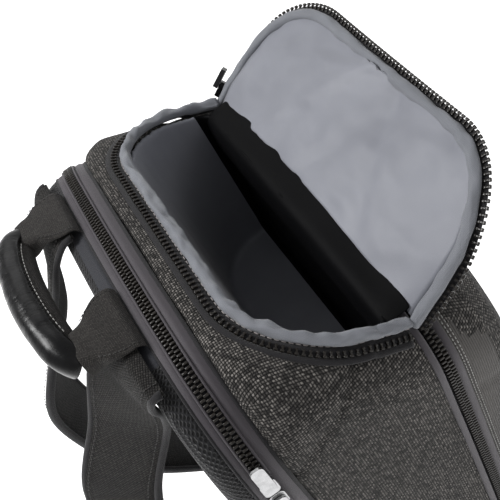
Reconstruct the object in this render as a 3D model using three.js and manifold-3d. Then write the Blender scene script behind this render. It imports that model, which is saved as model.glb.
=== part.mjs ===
// Camera backpack with its top hatch open.
// Millimetres, +Z up. X runs across the bag, +Y points at the wearer, -Y is the front.
// The origin is the middle of the flat base.
import * as THREE from 'three';
import { mergeVertices } from 'three/addons/utils/BufferGeometryUtils.js';
import Module from 'manifold-3d';

const wasm = await Module();
wasm.setup();

// Driving sizes of the whole bag
const bodyWidth = 332;
const bodyHeight = 480;
const clearance = 0.35;
const clothWall = 2.2;
const paddedWall = 6;

// Depths, from the back face to the front
const backFaceY = 104;
const backEdgeDepth = 16.5;
const rearGussetWidth = 7;
const zipWidth = 7.5;
const zipThickness = 2.4;
const frontGussetWidth = 9.5;
const mainDepth = 118;
const frontDepth = 55;
const frontLean = 0.03;

// Base
const basePanelThickness = 3;
const basePanelInset = 16;
const baseCornerRadius = 30;
const baseGap = 0.6;

// Hatch
const hatchSideMargin = 22;
const hatchLength = bodyWidth - hatchSideMargin * 2;
const hatchSetback = 18;
const hatchDepth = 94;
const hatchCornerRadius = 66;
const hatchHingeBow = 4.5;
const hatchEndGap = 2.4;
const mouthInset = 12;
const liningDepth = 150;
const liningWall = 3;
const liningTaper = 5;
const rimRadius = 4;
const tapeWidth = 4;
const tapeThickness = 1.2;
const teethWidth = 4;
const teethHeight = 2.6;
const gutterWidth = 6;

// Lid
const lidReach = 108;
const lidAngle = 28;
const lidPadThickness = 7;
const lidLiningThickness = 1.6;
const lidLiningInset = 15;
const lidSag = 4;
const lidHingeGap = 4;
const lidRootTaper = 30;
const lidSeat = 3.3;

// Sliders and pulls
const sliderLength = 13;
const sliderWidth = 11;
const sliderThickness = 6;
const pullLength = 26;
const pullWidth = 9;
const pullThickness = 2;
const clothPullLength = 16;
const clothPullWidth = 13;
const laptopSliderDrop = 72;

// Carrying parts
const padThickness = 7;
const padWidth = 236;
const padHeight = 344;
const padFoot = 0.78;
const padBottom = 44;
const handleSpan = 126;
const handleRadius = 11;
const handleRise = 13;
const handleStandoff = 11;
const tabWidth = 54;
const tabInner = 33;
const tabReach = 31;
const handleShift = 4;
const strapWidth = 60;
const strapThickness = 10;
const strapBow = 100;
const rightStrapTwist = 0.5;
const strapLength = 400;
const webbingWidth = 25;
const webbingThickness = 2;
const webbingLap = 14;
const webbingRise = 12;
const adjusterWidth = 34;
const adjusterHeight = 24;
const adjusterThickness = 6;
const anchorWidth = 62;
const anchorHeight = 56;
const anchorX = 128;
const anchorThickness = 3;

// Front
const laptopZipEnd = 0.36;
const frontZipEnd = 0.24;
const stripWidth = 5.4;
const stripThickness = 1;
const pocketHalfWidth = 104;
const pocketTopShare = 0.72;
const pocketBottomShare = 0.16;
const pocketPanelThickness = 3;

// Planes that the sizes above fix
const half = bodyWidth / 2;
const rearGussetY = backFaceY - backEdgeDepth - clearance;
const laptopZipY = rearGussetY - rearGussetWidth - clearance - zipWidth / 2;
const frontGussetY = laptopZipY - zipWidth / 2 - clearance;
const mainBackY = frontGussetY - frontGussetWidth - clearance;
const mainFrontY = mainBackY - mainDepth;
const frontZipY = mainFrontY - clearance - zipWidth / 2;
const frontShellY = frontZipY - zipWidth / 2 - clearance;
const frontFaceY = frontShellY - frontDepth;
const hatchBackY = mainBackY - hatchSetback;
const hingeY = hatchBackY - hatchDepth;
const floorZ = basePanelThickness + clearance;

// Sections across the bag, one row for each depth.
// at: share of that stretch's depth; half: share of half the width; shoulder: height where the
// corner meets the top; crown: rise of the top's middle; corner: corner radius as a share of half
// the width; base: height of the underside. Heights are shares of the bag's height.
const traySections = [
  { at: 0.0, half: 0.915, shoulder: 0.960, crown: 0.010, corner: 0.44, base: 0.022 },
  { at: 0.1, half: 0.950, shoulder: 0.976, crown: 0.010, corner: 0.46, base: 0.012 },
  { at: 0.45, half: 0.985, shoulder: 0.985, crown: 0.011, corner: 0.48, base: 0.004 },
  { at: 1.0, half: 1.000, shoulder: 0.988, crown: 0.012, corner: 0.49, base: 0.002 },
];
const gussetSections = [
  { at: 0.0, half: 1.000, shoulder: 0.988, crown: 0.012, corner: 0.49, base: 0.002 },
  { at: 0.5, half: 1.000, shoulder: 0.988, crown: 0.012, corner: 0.49, base: 0.002 },
  { at: 1.0, half: 0.992, shoulder: 0.984, crown: 0.012, corner: 0.48, base: 0.002 },
];
const mainSections = [
  { at: 0.0, half: 0.990, shoulder: 0.982, crown: 0.012, corner: 0.47, base: 0.001 },
  { at: 0.03, half: 1.000, shoulder: 0.986, crown: 0.012, corner: 0.44, base: 0.0 },
  { at: 0.1, half: 0.992, shoulder: 0.980, crown: 0.013, corner: 0.36, base: 0.0 },
  { at: 0.16, half: 0.985, shoulder: 0.973, crown: 0.0135, corner: 0.29, base: 0.0 },
  { at: 0.4, half: 0.980, shoulder: 0.945, crown: 0.0135, corner: 0.27, base: 0.0 },
  { at: 0.7, half: 0.975, shoulder: 0.912, crown: 0.0135, corner: 0.27, base: 0.0 },
  { at: 0.952, half: 0.962, shoulder: 0.884, crown: 0.0135, corner: 0.27, base: 0.0 },
  { at: 1.0, half: 0.948, shoulder: 0.875, crown: 0.0135, corner: 0.27, base: 0.003 },
];
const frontSections = [
  { at: 0.0, half: 0.945, shoulder: 0.869, crown: 0.0135, corner: 0.27, base: 0.006 },
  { at: 0.2, half: 0.940, shoulder: 0.860, crown: 0.013, corner: 0.28, base: 0.010 },
  { at: 0.55, half: 0.910, shoulder: 0.840, crown: 0.012, corner: 0.30, base: 0.020 },
  { at: 0.8, half: 0.860, shoulder: 0.815, crown: 0.010, corner: 0.32, base: 0.040 },
  { at: 0.93, half: 0.790, shoulder: 0.790, crown: 0.008, corner: 0.33, base: 0.065 },
  { at: 1.0, half: 0.680, shoulder: 0.760, crown: 0.006, corner: 0.33, base: 0.095 },
];

// Number of steps round half a section
const baseSteps = 4;
const sideSteps = 5;
const cornerSteps = 6;
const crownSteps = 5;
const sideBulge = 0.02;

const cloth = (colour, roughness = 0.9) =>
  new THREE.MeshStandardMaterial({ color: colour, roughness, metalness: 0 });
const metal = (colour, roughness = 0.3) =>
  new THREE.MeshStandardMaterial({ color: colour, roughness, metalness: 1 });
const finishes = {
  ballistic: cloth(0x484644),
  smooth: cloth(0x585356),
  darkCloth: cloth(0x2d2f37),
  lining: cloth(0x8a8c94, 0.7),
  binding: cloth(0x969aa0, 0.8),
  mesh: cloth(0x1c1c1e),
  strap: cloth(0x3c3936),
  teeth: cloth(0x2a2622, 0.45),
  grip: cloth(0x111214, 0.3),
  plastic: cloth(0x16161a, 0.4),
  nickel: metal(0xb8b8b8),
  blackMetal: metal(0x222222, 0.4),
};

const group = new THREE.Group();

const addPart = (name, geometry, finish) => {
  const mesh = new THREE.Mesh(geometry, finishes[finish].clone());
  mesh.name = name;
  group.add(mesh);
  return mesh;
};

const vec = (x, y, z) => new THREE.Vector3(x, y, z);
const mix = (a, b, t) => a + (b - a) * t;

// Closed solid through rings of equal count; the ends are capped, or the last ring meets the first.
// A paired cap joins each point of the ring's first half to its opposite in the second half.
const loft = (rings, closed = false, paired = false) => {
  const count = rings[0].length;
  const points = rings.flat().map((p) => [p.x, p.y, p.z]);
  const faces = [];
  const bands = closed ? rings.length : rings.length - 1;
  for (let i = 0; i < bands; i += 1) {
    const a = i * count;
    const b = ((i + 1) % rings.length) * count;
    for (let j = 0; j < count; j += 1) {
      const k = (j + 1) % count;
      faces.push([a + j, b + j, b + k], [a + j, b + k, a + k]);
    }
  }
  if (!closed) {
    const pairedCap = (start, flip) => {
      for (let j = 0; j < count / 2 - 1; j += 1) {
        const [a, b] = [start * count + j, start * count + j + 1];
        const [c, d] = [start * count + count - 2 - j, start * count + count - 1 - j];
        faces.push(flip ? [a, c, b] : [a, b, c], flip ? [a, d, c] : [a, c, d]);
      }
    };
    const fanCap = (start, flip) => {
      const centre = new THREE.Vector3();
      const ring = rings[start];
      ring.forEach((p) => centre.addScaledVector(p, 1 / count));
      const middle = points.push([centre.x, centre.y, centre.z]) - 1;
      for (let j = 0; j < count; j += 1) {
        const a = start * count + j;
        const b = start * count + ((j + 1) % count);
        faces.push(flip ? [middle, b, a] : [middle, a, b]);
      }
    };
    const cap = paired ? pairedCap : fanCap;
    cap(0, false);
    cap(rings.length - 1, true);
  }
  let volume = 0;
  faces.forEach(([a, b, c]) => {
    const [p, q, r] = [points[a], points[b], points[c]];
    volume += p[0] * (q[1] * r[2] - q[2] * r[1])
      + p[1] * (q[2] * r[0] - q[0] * r[2])
      + p[2] * (q[0] * r[1] - q[1] * r[0]);
  });
  const wound = volume < 0 ? faces.map(([a, b, c]) => [a, c, b]) : faces;
  const geometry = new THREE.BufferGeometry();
  geometry.setAttribute('position', new THREE.Float32BufferAttribute(points.flat(), 3));
  geometry.setIndex(wound.flat());
  return geometry;
};

const solidOf = (geometry) => {
  const bare = geometry.clone();
  bare.deleteAttribute('normal');
  bare.deleteAttribute('uv');
  const merged = mergeVertices(bare, 1e-4);
  return new wasm.Manifold(new wasm.Mesh({
    numProp: 3,
    vertProperties: new Float32Array(merged.attributes.position.array),
    triVerts: new Uint32Array(merged.index.array),
  }));
};

const geometryOf = (solid) => {
  const mesh = solid.getMesh();
  const geometry = new THREE.BufferGeometry();
  geometry.setAttribute('position', new THREE.BufferAttribute(mesh.vertProperties, 3));
  geometry.setIndex(new THREE.BufferAttribute(mesh.triVerts, 1));
  return geometry;
};

const cut = (target, ...tools) =>
  geometryOf(tools.reduce((solid, tool) => solid.subtract(solidOf(tool)), solidOf(target)));

// Section of the bag as sizes in millimetres, shrunk all round by inset
const sized = (row, inset = 0) => ({
  half: row.half * half - inset,
  shoulder: row.shoulder * bodyHeight - inset,
  crown: row.crown * bodyHeight,
  corner: Math.max(row.corner * half - inset, 4),
  base: floorZ + row.base * bodyHeight + inset,
});

const blended = (rows, at) => {
  const last = rows.length - 1;
  const found = rows.findIndex((row) => row.at >= at);
  const index = Math.min(Math.max(found < 0 ? last : found, 1), last);
  const [a, b] = [rows[index - 1], rows[index]];
  const t = Math.min(Math.max((at - a.at) / (b.at - a.at), 0), 1);
  const keys = ['half', 'shoulder', 'crown', 'corner', 'base'];
  return Object.fromEntries(keys.map((key) => [key, mix(a[key], b[key], t)]));
};

// Half of a section from the middle of the base round to the middle of the top, as [x, z]
const halfOutline = (s) => {
  const radius = Math.min(baseCornerRadius, s.half / 2);
  const foot = s.half * 0.97;
  const points = [[0, s.base], [(foot - radius) / 2, s.base]];
  for (let i = 0; i <= baseSteps; i += 1) {
    const turn = (i / baseSteps) * Math.PI / 2;
    points.push([foot - radius + radius * Math.sin(turn), s.base + radius * (1 - Math.cos(turn))]);
  }
  const low = s.base + radius;
  const high = s.shoulder - s.corner;
  for (let i = 1; i < sideSteps; i += 1) {
    const t = i / sideSteps;
    const bulge = sideBulge * s.half * Math.sin(Math.PI * t);
    points.push([mix(foot, s.half, t) + bulge, mix(low, high, t)]);
  }
  for (let i = 0; i <= cornerSteps; i += 1) {
    const turn = (i / cornerSteps) * Math.PI / 2;
    const x = s.half - s.corner + s.corner * Math.cos(turn);
    points.push([x, high + s.corner * Math.sin(turn)]);
  }
  const flat = s.half - s.corner;
  for (let i = 1; i <= crownSteps; i += 1) {
    const x = flat * (1 - i / crownSteps);
    points.push([x, s.shoulder + s.crown * (1 - (x / flat) ** 2)]);
  }
  return points;
};

const sectionRing = (s, y, lean = 0) => {
  const right = halfOutline(s);
  const left = right.slice(1, -1).reverse().map(([x, z]) => [-x, z]);
  return [...right, ...left].map(([x, z]) => vec(x, y + lean * (bodyHeight - z), z));
};

// Leaning grows from nothing at the hatch's back edge to its whole at the front
const leanAt = (y) => frontLean * Math.min(Math.max((hatchBackY - y) / hatchDepth, 0), 1);

const stretchRings = (rows, fromY, depth, inset = 0) =>
  rows.map((row) => {
    const y = fromY - row.at * depth;
    return sectionRing(sized(row, inset), y, leanAt(y));
  });

// Upper arch of a stretch at one depth: points from the left side over the top to the right side
const archOf = (rows, fromY, depth, y, endShare) => {
  const row = blended(rows, (fromY - y) / depth);
  const points = halfOutline(sized(row));
  const endZ = endShare * bodyHeight;
  const first = points.findIndex(([x, z]) => x > 0 && z > endZ);
  const [a, b] = [points[first - 1], points[first]];
  const t = (endZ - a[1]) / (b[1] - a[1]);
  const upper = [[mix(a[0], b[0], t), endZ], ...points.slice(first)];
  const mirrored = upper.slice(0, -1).map(([x, z]) => [-x, z]);
  const path = [...mirrored, ...upper.reverse()];
  return path.map(([x, z], i) => {
    const [px, pz] = path[Math.max(i - 1, 0)];
    const [nx, nz] = path[Math.min(i + 1, path.length - 1)];
    const out = vec(pz - nz, 0, nx - px).normalize();
    return { x, z, y: y + leanAt(y) * (bodyHeight - z), out };
  });
};

// Flat strip along an arch, between two depths, standing on the surface
const archStrip = (rows, fromY, depth, y0, y1, endShare, lift, thickness) => {
  const a = archOf(rows, fromY, depth, y0, endShare);
  const b = archOf(rows, fromY, depth, y1, endShare);
  const raise = (p, d) => vec(p.x, p.y, p.z).addScaledVector(p.out, d);
  return loft(a.map((p, i) => [
    raise(p, lift), raise(b[i], lift), raise(b[i], lift + thickness), raise(p, lift + thickness),
  ]));
};

// Strip that closes the slot below the two ends of a zip
const lowerStrip = (rows, fromY, width, endShare) => {
  const endZ = endShare * bodyHeight - clearance * 2;
  const path = (row, inset, y) => {
    const points = halfOutline(sized(row, inset));
    const first = points.findIndex(([x, z]) => x > 0 && z > endZ);
    const [a, b] = [points[first - 1], points[first]];
    const t = (endZ - a[1]) / (b[1] - a[1]);
    const lower = [...points.slice(0, first), [mix(a[0], b[0], t), endZ]];
    const whole = [...lower.slice(1).reverse().map(([x, z]) => [-x, z]), ...lower];
    return whole.map(([x, z]) => vec(x, y + leanAt(y) * (bodyHeight - z), z));
  };
  const sides = [
    path(rows[0], 0, fromY), path(rows[1], 0, fromY - width),
    path(rows[1], clothWall, fromY - width), path(rows[0], clothWall, fromY),
  ];
  return loft(sides[0].map((_, i) => sides.map((side) => side[i])));
};

// Height of the sloping top above a point of the plan
const topHeight = (x, y) => {
  const s = sized(blended(mainSections, (mainBackY - y) / mainDepth));
  const flat = s.half - s.corner;
  const across = Math.abs(x);
  if (across <= flat) {
    return s.shoulder + s.crown * (1 - (across / flat) ** 2);
  }
  const past = Math.min(across - flat, s.corner);
  return s.shoulder - s.corner + Math.sqrt(s.corner ** 2 - past ** 2);
};

// Plan of the hatch: U from one hinge end round the back to the other, grown outwards by offset
const hatchSide = 5;
const hatchCorner = 7;
const hatchBack = 12;
const hatchPlan = (offset, front = hingeY) => {
  const reach = hatchLength / 2 + offset;
  const back = hatchBackY + offset;
  const radius = hatchCornerRadius + offset;
  const points = [];
  for (let i = 0; i < hatchSide; i += 1) {
    points.push([-reach, mix(front, back - radius, i / hatchSide)]);
  }
  for (let i = 0; i <= hatchCorner; i += 1) {
    const turn = (i / hatchCorner) * Math.PI / 2;
    points.push([-reach + radius - radius * Math.cos(turn), back - radius + radius * Math.sin(turn)]);
  }
  for (let i = 1; i < hatchBack; i += 1) {
    points.push([mix(-reach + radius, reach - radius, i / hatchBack), back]);
  }
  const mirrored = points.slice(0, hatchSide + hatchCorner + 1).map(([x, y]) => [-x, y]).reverse();
  return [...points, ...mirrored];
};

const hatchBow = (x) => -hatchHingeBow * Math.max(1 - (x / (hatchLength / 2)) ** 2, 0);

// Strip round the hatch between two offsets, from lift to lift + thickness above the top
const hatchStrip = (inner, outer, lift, thickness) => {
  const a = hatchPlan(inner, hingeY + hatchEndGap);
  const b = hatchPlan(outer, hingeY + hatchEndGap);
  const at = ([x, y], h) => vec(x, y, topHeight(x, y) + h);
  return loft(a.map((p, i) => [
    at(p, lift), at(b[i], lift), at(b[i], lift + thickness), at(p, lift + thickness),
  ]));
};

const roundSection = (radius, sides) => {
  const shape = new THREE.Shape();
  for (let i = 0; i < sides; i += 1) {
    const turn = (i / sides) * Math.PI * 2;
    const [x, y] = [radius * Math.cos(turn), radius * Math.sin(turn)];
    if (i === 0) shape.moveTo(x, y);
    else shape.lineTo(x, y);
  }
  shape.closePath();
  return shape;
};

const tube = (points, radius, sides, steps) => {
  const path = new THREE.CatmullRomCurve3(points, false, 'centripetal');
  return new THREE.ExtrudeGeometry(roundSection(radius, sides), { steps, extrudePath: path });
};

// Main compartment
const mouthPlan = (offset) => {
  const front = hingeY + mouthInset - offset;
  const width = hatchLength / 2 - mouthInset + offset;
  const steps = 6;
  const line = [];
  for (let i = 1; i < steps; i += 1) {
    line.push([mix(width, -width, i / steps), front]);
  }
  return [...hatchPlan(-mouthInset + offset, front), ...line];
};

const makeMainShell = () => {
  const outer = loft(stretchRings(mainSections, mainBackY, mainDepth));
  const innerRows = mainSections.slice(1, -1);
  const inner = loft(stretchRings(innerRows, mainBackY, mainDepth, paddedWall));
  const plan = mouthPlan(liningWall + clearance);
  const cutTop = bodyHeight * 1.1;
  const cutBottom = bodyHeight * 0.7;
  const mouth = loft([cutBottom, cutTop].map((z) => plan.map(([x, y]) => vec(x, y, z))));
  addPart('main_shell', cut(outer, inner, mouth), 'ballistic');
};

const makeBasePanel = () => {
  const reachX = half * 0.97 - baseCornerRadius - basePanelInset / 4;
  const backY = rearGussetY - baseGap;
  const frontY = mainFrontY + basePanelInset;
  const radius = basePanelInset;
  const shape = new THREE.Shape();
  shape.moveTo(-reachX + radius, frontY);
  shape.lineTo(reachX - radius, frontY);
  shape.absarc(reachX - radius, frontY + radius, radius, -Math.PI / 2, 0);
  shape.absarc(reachX - radius, backY - radius, radius, 0, Math.PI / 2);
  shape.absarc(-reachX + radius, backY - radius, radius, Math.PI / 2, Math.PI);
  shape.absarc(-reachX + radius, frontY + radius, radius, Math.PI, Math.PI * 1.5);
  const plate = new THREE.ExtrudeGeometry(shape, {
    depth: basePanelThickness, bevelEnabled: false, curveSegments: 5,
  });
  addPart('base_panel', plate, 'ballistic');
};

const makeHatchLining = () => {
  const floor = topHeight(0, hingeY) - liningDepth;
  const wall = (offset, taper, height) => {
    const plan = mouthPlan(offset);
    const shrink = 1 - taper / (hatchLength / 2);
    const middleY = (hatchBackY + hingeY) / 2;
    return plan.map(([x, y]) => vec(
      x * (height === null ? 1 : shrink),
      height === null ? y : middleY + (y - middleY) * (1 - taper / (hatchDepth / 2)),
      height === null ? topHeight(x, y) - clearance : height,
    ));
  };
  addPart('hatch_lining', loft([
    wall(liningWall, liningTaper, floor),
    wall(liningWall, 0, null),
    wall(0, 0, null),
    wall(0, liningTaper, floor + liningWall),
  ]), 'lining');
};

const makeHatchTrim = () => {
  const rimOffset = -mouthInset + rimRadius;
  const lift = clearance + 0.2;
  const rim = hatchPlan(rimOffset).map(([x, y]) => vec(x, y, topHeight(x, y) + rimRadius + lift));
  addPart('hatch_rim_binding', tube(rim, rimRadius, 6, 46), 'binding');
  const tapeStart = rimOffset + rimRadius + clearance;
  const tapeEnd = tapeStart + tapeWidth - clearance;
  addPart('hatch_tape', hatchStrip(tapeStart, tapeEnd, lift, tapeThickness), 'darkCloth');
  const teethStart = tapeEnd + clearance;
  addPart('hatch_teeth', hatchStrip(teethStart, teethStart + teethWidth, lift, teethHeight), 'teeth');
  const gutterStart = teethStart + teethWidth + clearance;
  const gutter = hatchStrip(gutterStart, gutterStart + gutterWidth, lift + 0.25, stripThickness);
  addPart('hatch_gutter', gutter, 'darkCloth');
};

// Lid: the hatch's plan turned forward about the hinge line
const lidSlope = THREE.MathUtils.degToRad(lidAngle);
const lidPoint = (x, reach, height) => {
  const along = Math.min(reach / lidReach, 1);
  const endwise = 1 - (x / (hatchLength / 2)) ** 2;
  const root = topHeight(x, hingeY);
  const level = topHeight(hatchLength / 2 - hatchCornerRadius / 3, hingeY) - lidSag * endwise;
  const y = hingeY + hatchBow(x) * (1 - along) - lidHingeGap;
  return vec(
    x,
    y - reach * Math.cos(lidSlope) + height * Math.sin(lidSlope),
    mix(root, level, along) + lidSeat + reach * Math.sin(lidSlope) + height * Math.cos(lidSlope),
  );
};

// Outline of the lid as [x, reach], the hatch's U grown by offset
const lidOutline = (offset) => hatchPlan(offset).map(([x, y]) => {
  const reach = ((y - hingeY) / (hatchDepth + offset)) * (lidReach + offset);
  return [x, reach];
});

// Plate over the lid's outline; base and top are heights, each given for a distance from the hinge
const lidPlate = (offset, base, top) => {
  const outline = lidOutline(offset);
  const middle = Math.floor(outline.length / 2);
  const rings = [];
  for (let i = 0; i < middle; i += 1) {
    const [x, reach] = outline[i];
    const steps = 4;
    const ring = [];
    for (let j = 0; j <= steps; j += 1) {
      ring.push(lidPoint(mix(x, -x, j / steps), Math.max(reach, 0), base(reach)));
    }
    for (let j = steps; j >= 0; j -= 1) {
      ring.push(lidPoint(mix(x, -x, j / steps), Math.max(reach, 0), top));
    }
    rings.push(ring);
  }
  return loft(rings, false, true);
};

const lidStrip = (inner, outer, low, thickness) => {
  const a = lidOutline(inner);
  const b = lidOutline(outer);
  return loft(a.map((p, i) => [
    lidPoint(p[0], p[1], low), lidPoint(b[i][0], b[i][1], low),
    lidPoint(b[i][0], b[i][1], low + thickness), lidPoint(p[0], p[1], low + thickness),
  ]));
};

const makeLid = () => {
  const bindingOffset = -mouthInset + rimRadius;
  const padEdge = bindingOffset;
  const padBase = (reach) => -lidPadThickness * mix(0.25, 1, Math.min(reach / lidRootTaper, 1));
  addPart('lid_pad', lidPlate(padEdge, padBase, 0), 'ballistic');
  const liningEdge = -lidLiningInset;
  const liningTop = clearance + lidLiningThickness;
  addPart('lid_lining', lidPlate(liningEdge, () => clearance, liningTop), 'lining');
  const binding = lidOutline(bindingOffset + 0.5).map(([x, r]) => lidPoint(x, r, rimRadius + clearance));
  addPart('lid_binding', tube(binding, rimRadius, 6, 46), 'binding');
  const tapeStart = padEdge + clearance;
  const tapeEnd = tapeStart + rimRadius + tapeWidth - clearance * 2;
  const low = -tapeThickness - clearance;
  addPart('lid_tape', lidStrip(tapeStart, tapeEnd, low, tapeThickness), 'darkCloth');
  const teethStart = tapeEnd + clearance;
  addPart('lid_teeth', lidStrip(teethStart, teethStart + teethWidth, low, teethHeight), 'teeth');
};

// Laptop section
const makeLaptopSection = () => {
  const innerTray = [...traySections].reverse().map((row) => {
    const y = backFaceY - Math.max(row.at * backEdgeDepth, clothWall * (1 + row.at));
    const depthY = row.at === 1 ? backFaceY - backEdgeDepth : y;
    return sectionRing(sized(row, clothWall), depthY);
  });
  const outerTray = traySections.map((row) =>
    sectionRing(sized(row), backFaceY - row.at * backEdgeDepth));
  addPart('laptop_tray', loft([...outerTray, ...innerTray]), 'darkCloth');

  const band = (rows, fromY, width) => {
    const outer = rows.map((row) => sectionRing(sized(row), fromY - row.at * width));
    const inner = rows.map((row) => sectionRing(sized(row, clothWall), fromY - row.at * width));
    return loft([...outer, ...inner.reverse()], true);
  };
  const flatRows = gussetSections.slice(0, 2).map((row, i) => ({ ...row, at: i }));
  addPart('laptop_rear_gusset', band(flatRows, rearGussetY, rearGussetWidth), 'smooth');
  addPart('laptop_front_gusset', band(gussetSections, frontGussetY, frontGussetWidth), 'smooth');

  const y0 = laptopZipY + zipWidth / 2;
  const y1 = laptopZipY - zipWidth / 2;
  const chain = archStrip(flatRows, y0, zipWidth, y0, y1, laptopZipEnd, -clothWall, zipThickness + 0.6);
  addPart('laptop_zip', chain, 'teeth');

  addPart('laptop_bottom_strip', lowerStrip(flatRows, y0, zipWidth, laptopZipEnd), 'smooth');
};

// Frame on the bag's surface: origin, along the zip and out of the surface
const place = (mesh, origin, along, out) => {
  const side = new THREE.Vector3().crossVectors(out, along).normalize();
  const up = new THREE.Vector3().crossVectors(along, side).normalize();
  const basis = new THREE.Matrix4().makeBasis(along.clone().normalize(), side, up);
  basis.setPosition(origin);
  mesh.applyMatrix4(basis);
};

const slab = (length, width, thickness, radius) => {
  const shape = new THREE.Shape();
  const [x, y] = [length / 2, width / 2];
  shape.moveTo(-x + radius, -y);
  shape.lineTo(x - radius, -y);
  shape.absarc(x - radius, -y + radius, radius, -Math.PI / 2, 0);
  shape.absarc(x - radius, y - radius, radius, 0, Math.PI / 2);
  shape.absarc(-x + radius, y - radius, radius, Math.PI / 2, Math.PI);
  shape.absarc(-x + radius, -y + radius, radius, Math.PI, Math.PI * 1.5);
  return new THREE.ExtrudeGeometry(shape, { depth: thickness, bevelEnabled: false, curveSegments: 3 });
};

const addSlider = (name, pull, origin, along, out, finish) => {
  const body = addPart(name, slab(sliderLength, sliderWidth, sliderThickness, 3), finish);
  place(body, origin, along, out);
  const lever = addPart(pull, slab(pullLength, pullWidth, pullThickness, 3), finish);
  const raised = origin.clone()
    .addScaledVector(out, sliderThickness + clearance)
    .addScaledVector(along, pullLength / 2 - sliderLength / 4);
  place(lever, raised, along, out);
};

const makeLaptopSliders = () => {
  const flatRows = gussetSections.slice(0, 2).map((row, i) => ({ ...row, at: i }));
  const arch = archOf(flatRows, laptopZipY, zipWidth, laptopZipY, laptopZipEnd);
  const at = (z) => {
    const upper = arch.findIndex((p) => p.z > z);
    const [a, b] = [arch[upper - 1], arch[upper]];
    const t = (z - a.z) / (b.z - a.z);
    const along = vec(b.x - a.x, 0, b.z - a.z).normalize();
    return { origin: vec(mix(a.x, b.x, t), laptopZipY, z), along, out: vec(-along.z, 0, along.x) };
  };
  const gap = zipThickness - clothWall + 0.6 + clearance;
  [['upper', 1], ['lower', -1]].forEach(([which, sign]) => {
    const drop = laptopSliderDrop + (sign < 0 ? sliderLength + clearance * 2 : 0);
    const seat = at(bodyHeight - drop);
    const origin = seat.origin.clone().addScaledVector(seat.out, gap + 0.3);
    const name = `laptop_slider_${which}`;
    if (sign > 0) {
      const shifted = addPart(name, slab(sliderLength, sliderWidth, sliderThickness, 3), 'nickel');
      place(shifted, origin, seat.along, seat.out);
      const lever = addPart(`laptop_pull_${which}`, slab(pullLength, pullWidth, pullThickness, 3), 'nickel');
      const raised = origin.clone()
        .addScaledVector(seat.out, sliderThickness + clearance)
        .addScaledVector(seat.along, pullLength / 2 - sliderLength / 4);
      place(lever, raised, seat.along, seat.out);
    } else {
      addSlider(name, `laptop_pull_${which}`, origin, seat.along.clone().negate(), seat.out, 'nickel');
    }
  });
};

const makeBackPad = () => {
  const radius = padWidth * 0.2;
  const face = (inset, y) => {
    const shape = [];
    const [x, low, high] = [padWidth / 2 - inset, padBottom + inset, padBottom + padHeight - inset];
    const foot = x * padFoot;
    const corners = [[foot, low, -0.5, 0], [x, high, 0, 0.5], [-x, high, 0.5, 1], [-foot, low, 1, 1.5]];
    corners.forEach(([cx, cz, from, to]) => {
      const r = radius - inset;
      for (let i = 0; i <= 4; i += 1) {
        const turn = mix(from, to, i / 4) * Math.PI;
        const [sx, sz] = [Math.sign(cx), cz === low ? -1 : 1];
        shape.push(vec(cx - sx * r + r * Math.cos(turn), y, cz - sz * r + r * Math.sin(turn)));
      }
    });
    return shape;
  };
  const start = backFaceY + clearance;
  addPart('back_mesh_pad', loft([
    face(0, start), face(0, start + padThickness * 0.5),
    face(padThickness * 0.6, start + padThickness * 0.9), face(padThickness * 2, start + padThickness),
  ]), 'mesh');
};

// Handle and its two tabs
const tabRootY = rearGussetY - clearance;
const trayTop = (x, y) => {
  const row = blended(traySections, (backFaceY - y) / backEdgeDepth);
  const flat = (row.half - row.corner) * half;
  return (row.shoulder + row.crown * (1 - (x / flat) ** 2)) * bodyHeight;
};

// Sections of a tab from its seam outwards. at: share of its reach; inner: share of its width cut
// from the inner edge, outer from the outer edge; rise: height above the bag's edge; thick: depth.
const tabSections = [
  { at: 0.04, inner: 0.0, outer: 0.0, rise: 0.9, thick: 2.4 },
  { at: 0.17, inner: 0.0, outer: 0.0, rise: 7.8, thick: 2.4 },
  { at: 0.5, inner: 0.04, outer: 0.02, rise: 8.4, thick: 3.0 },
  { at: 0.8, inner: 0.16, outer: 0.08, rise: 5.0, thick: 6 },
  { at: 1.0, inner: 0.24, outer: 0.14, rise: 0.5, thick: 11 },
];
const makeHandle = () => {
  const endY = tabRootY + tabReach + handleRadius * 0.9;
  const endZ = trayTop(handleSpan / 2, tabRootY) + 1;
  const reach = handleSpan / 2;
  const route = [];
  const steps = 8;
  for (let i = 0; i <= steps; i += 1) {
    const turn = (i / steps) * Math.PI;
    const swell = Math.sin(turn);
    route.push(vec(
      handleShift - reach * Math.cos(turn),
      endY + handleStandoff * swell,
      endZ + handleRise * swell,
    ));
  }
  addPart('handle_grip', tube(route, handleRadius, 10, 20), 'grip');

  [['left', -1], ['right', 1]].forEach(([which, sign]) => {
    const rings = tabSections.map((row) => {
      const y = tabRootY + tabReach * row.at;
      const x0 = tabInner + row.inner * tabWidth;
      const x1 = tabInner + tabWidth * (1 - row.outer);
      const corner = (x, high) => vec(
        handleShift + sign * x,
        y,
        trayTop(x, Math.min(y, backFaceY - backEdgeDepth / 2)) + row.rise + (high ? row.thick : 0),
      );
      return [corner(x0, false), corner(x1, false), corner(x1, true), corner(x0, true)];
    });
    addPart(`handle_tab_${which}`, loft(rings), 'ballistic');
  });
};

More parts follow.
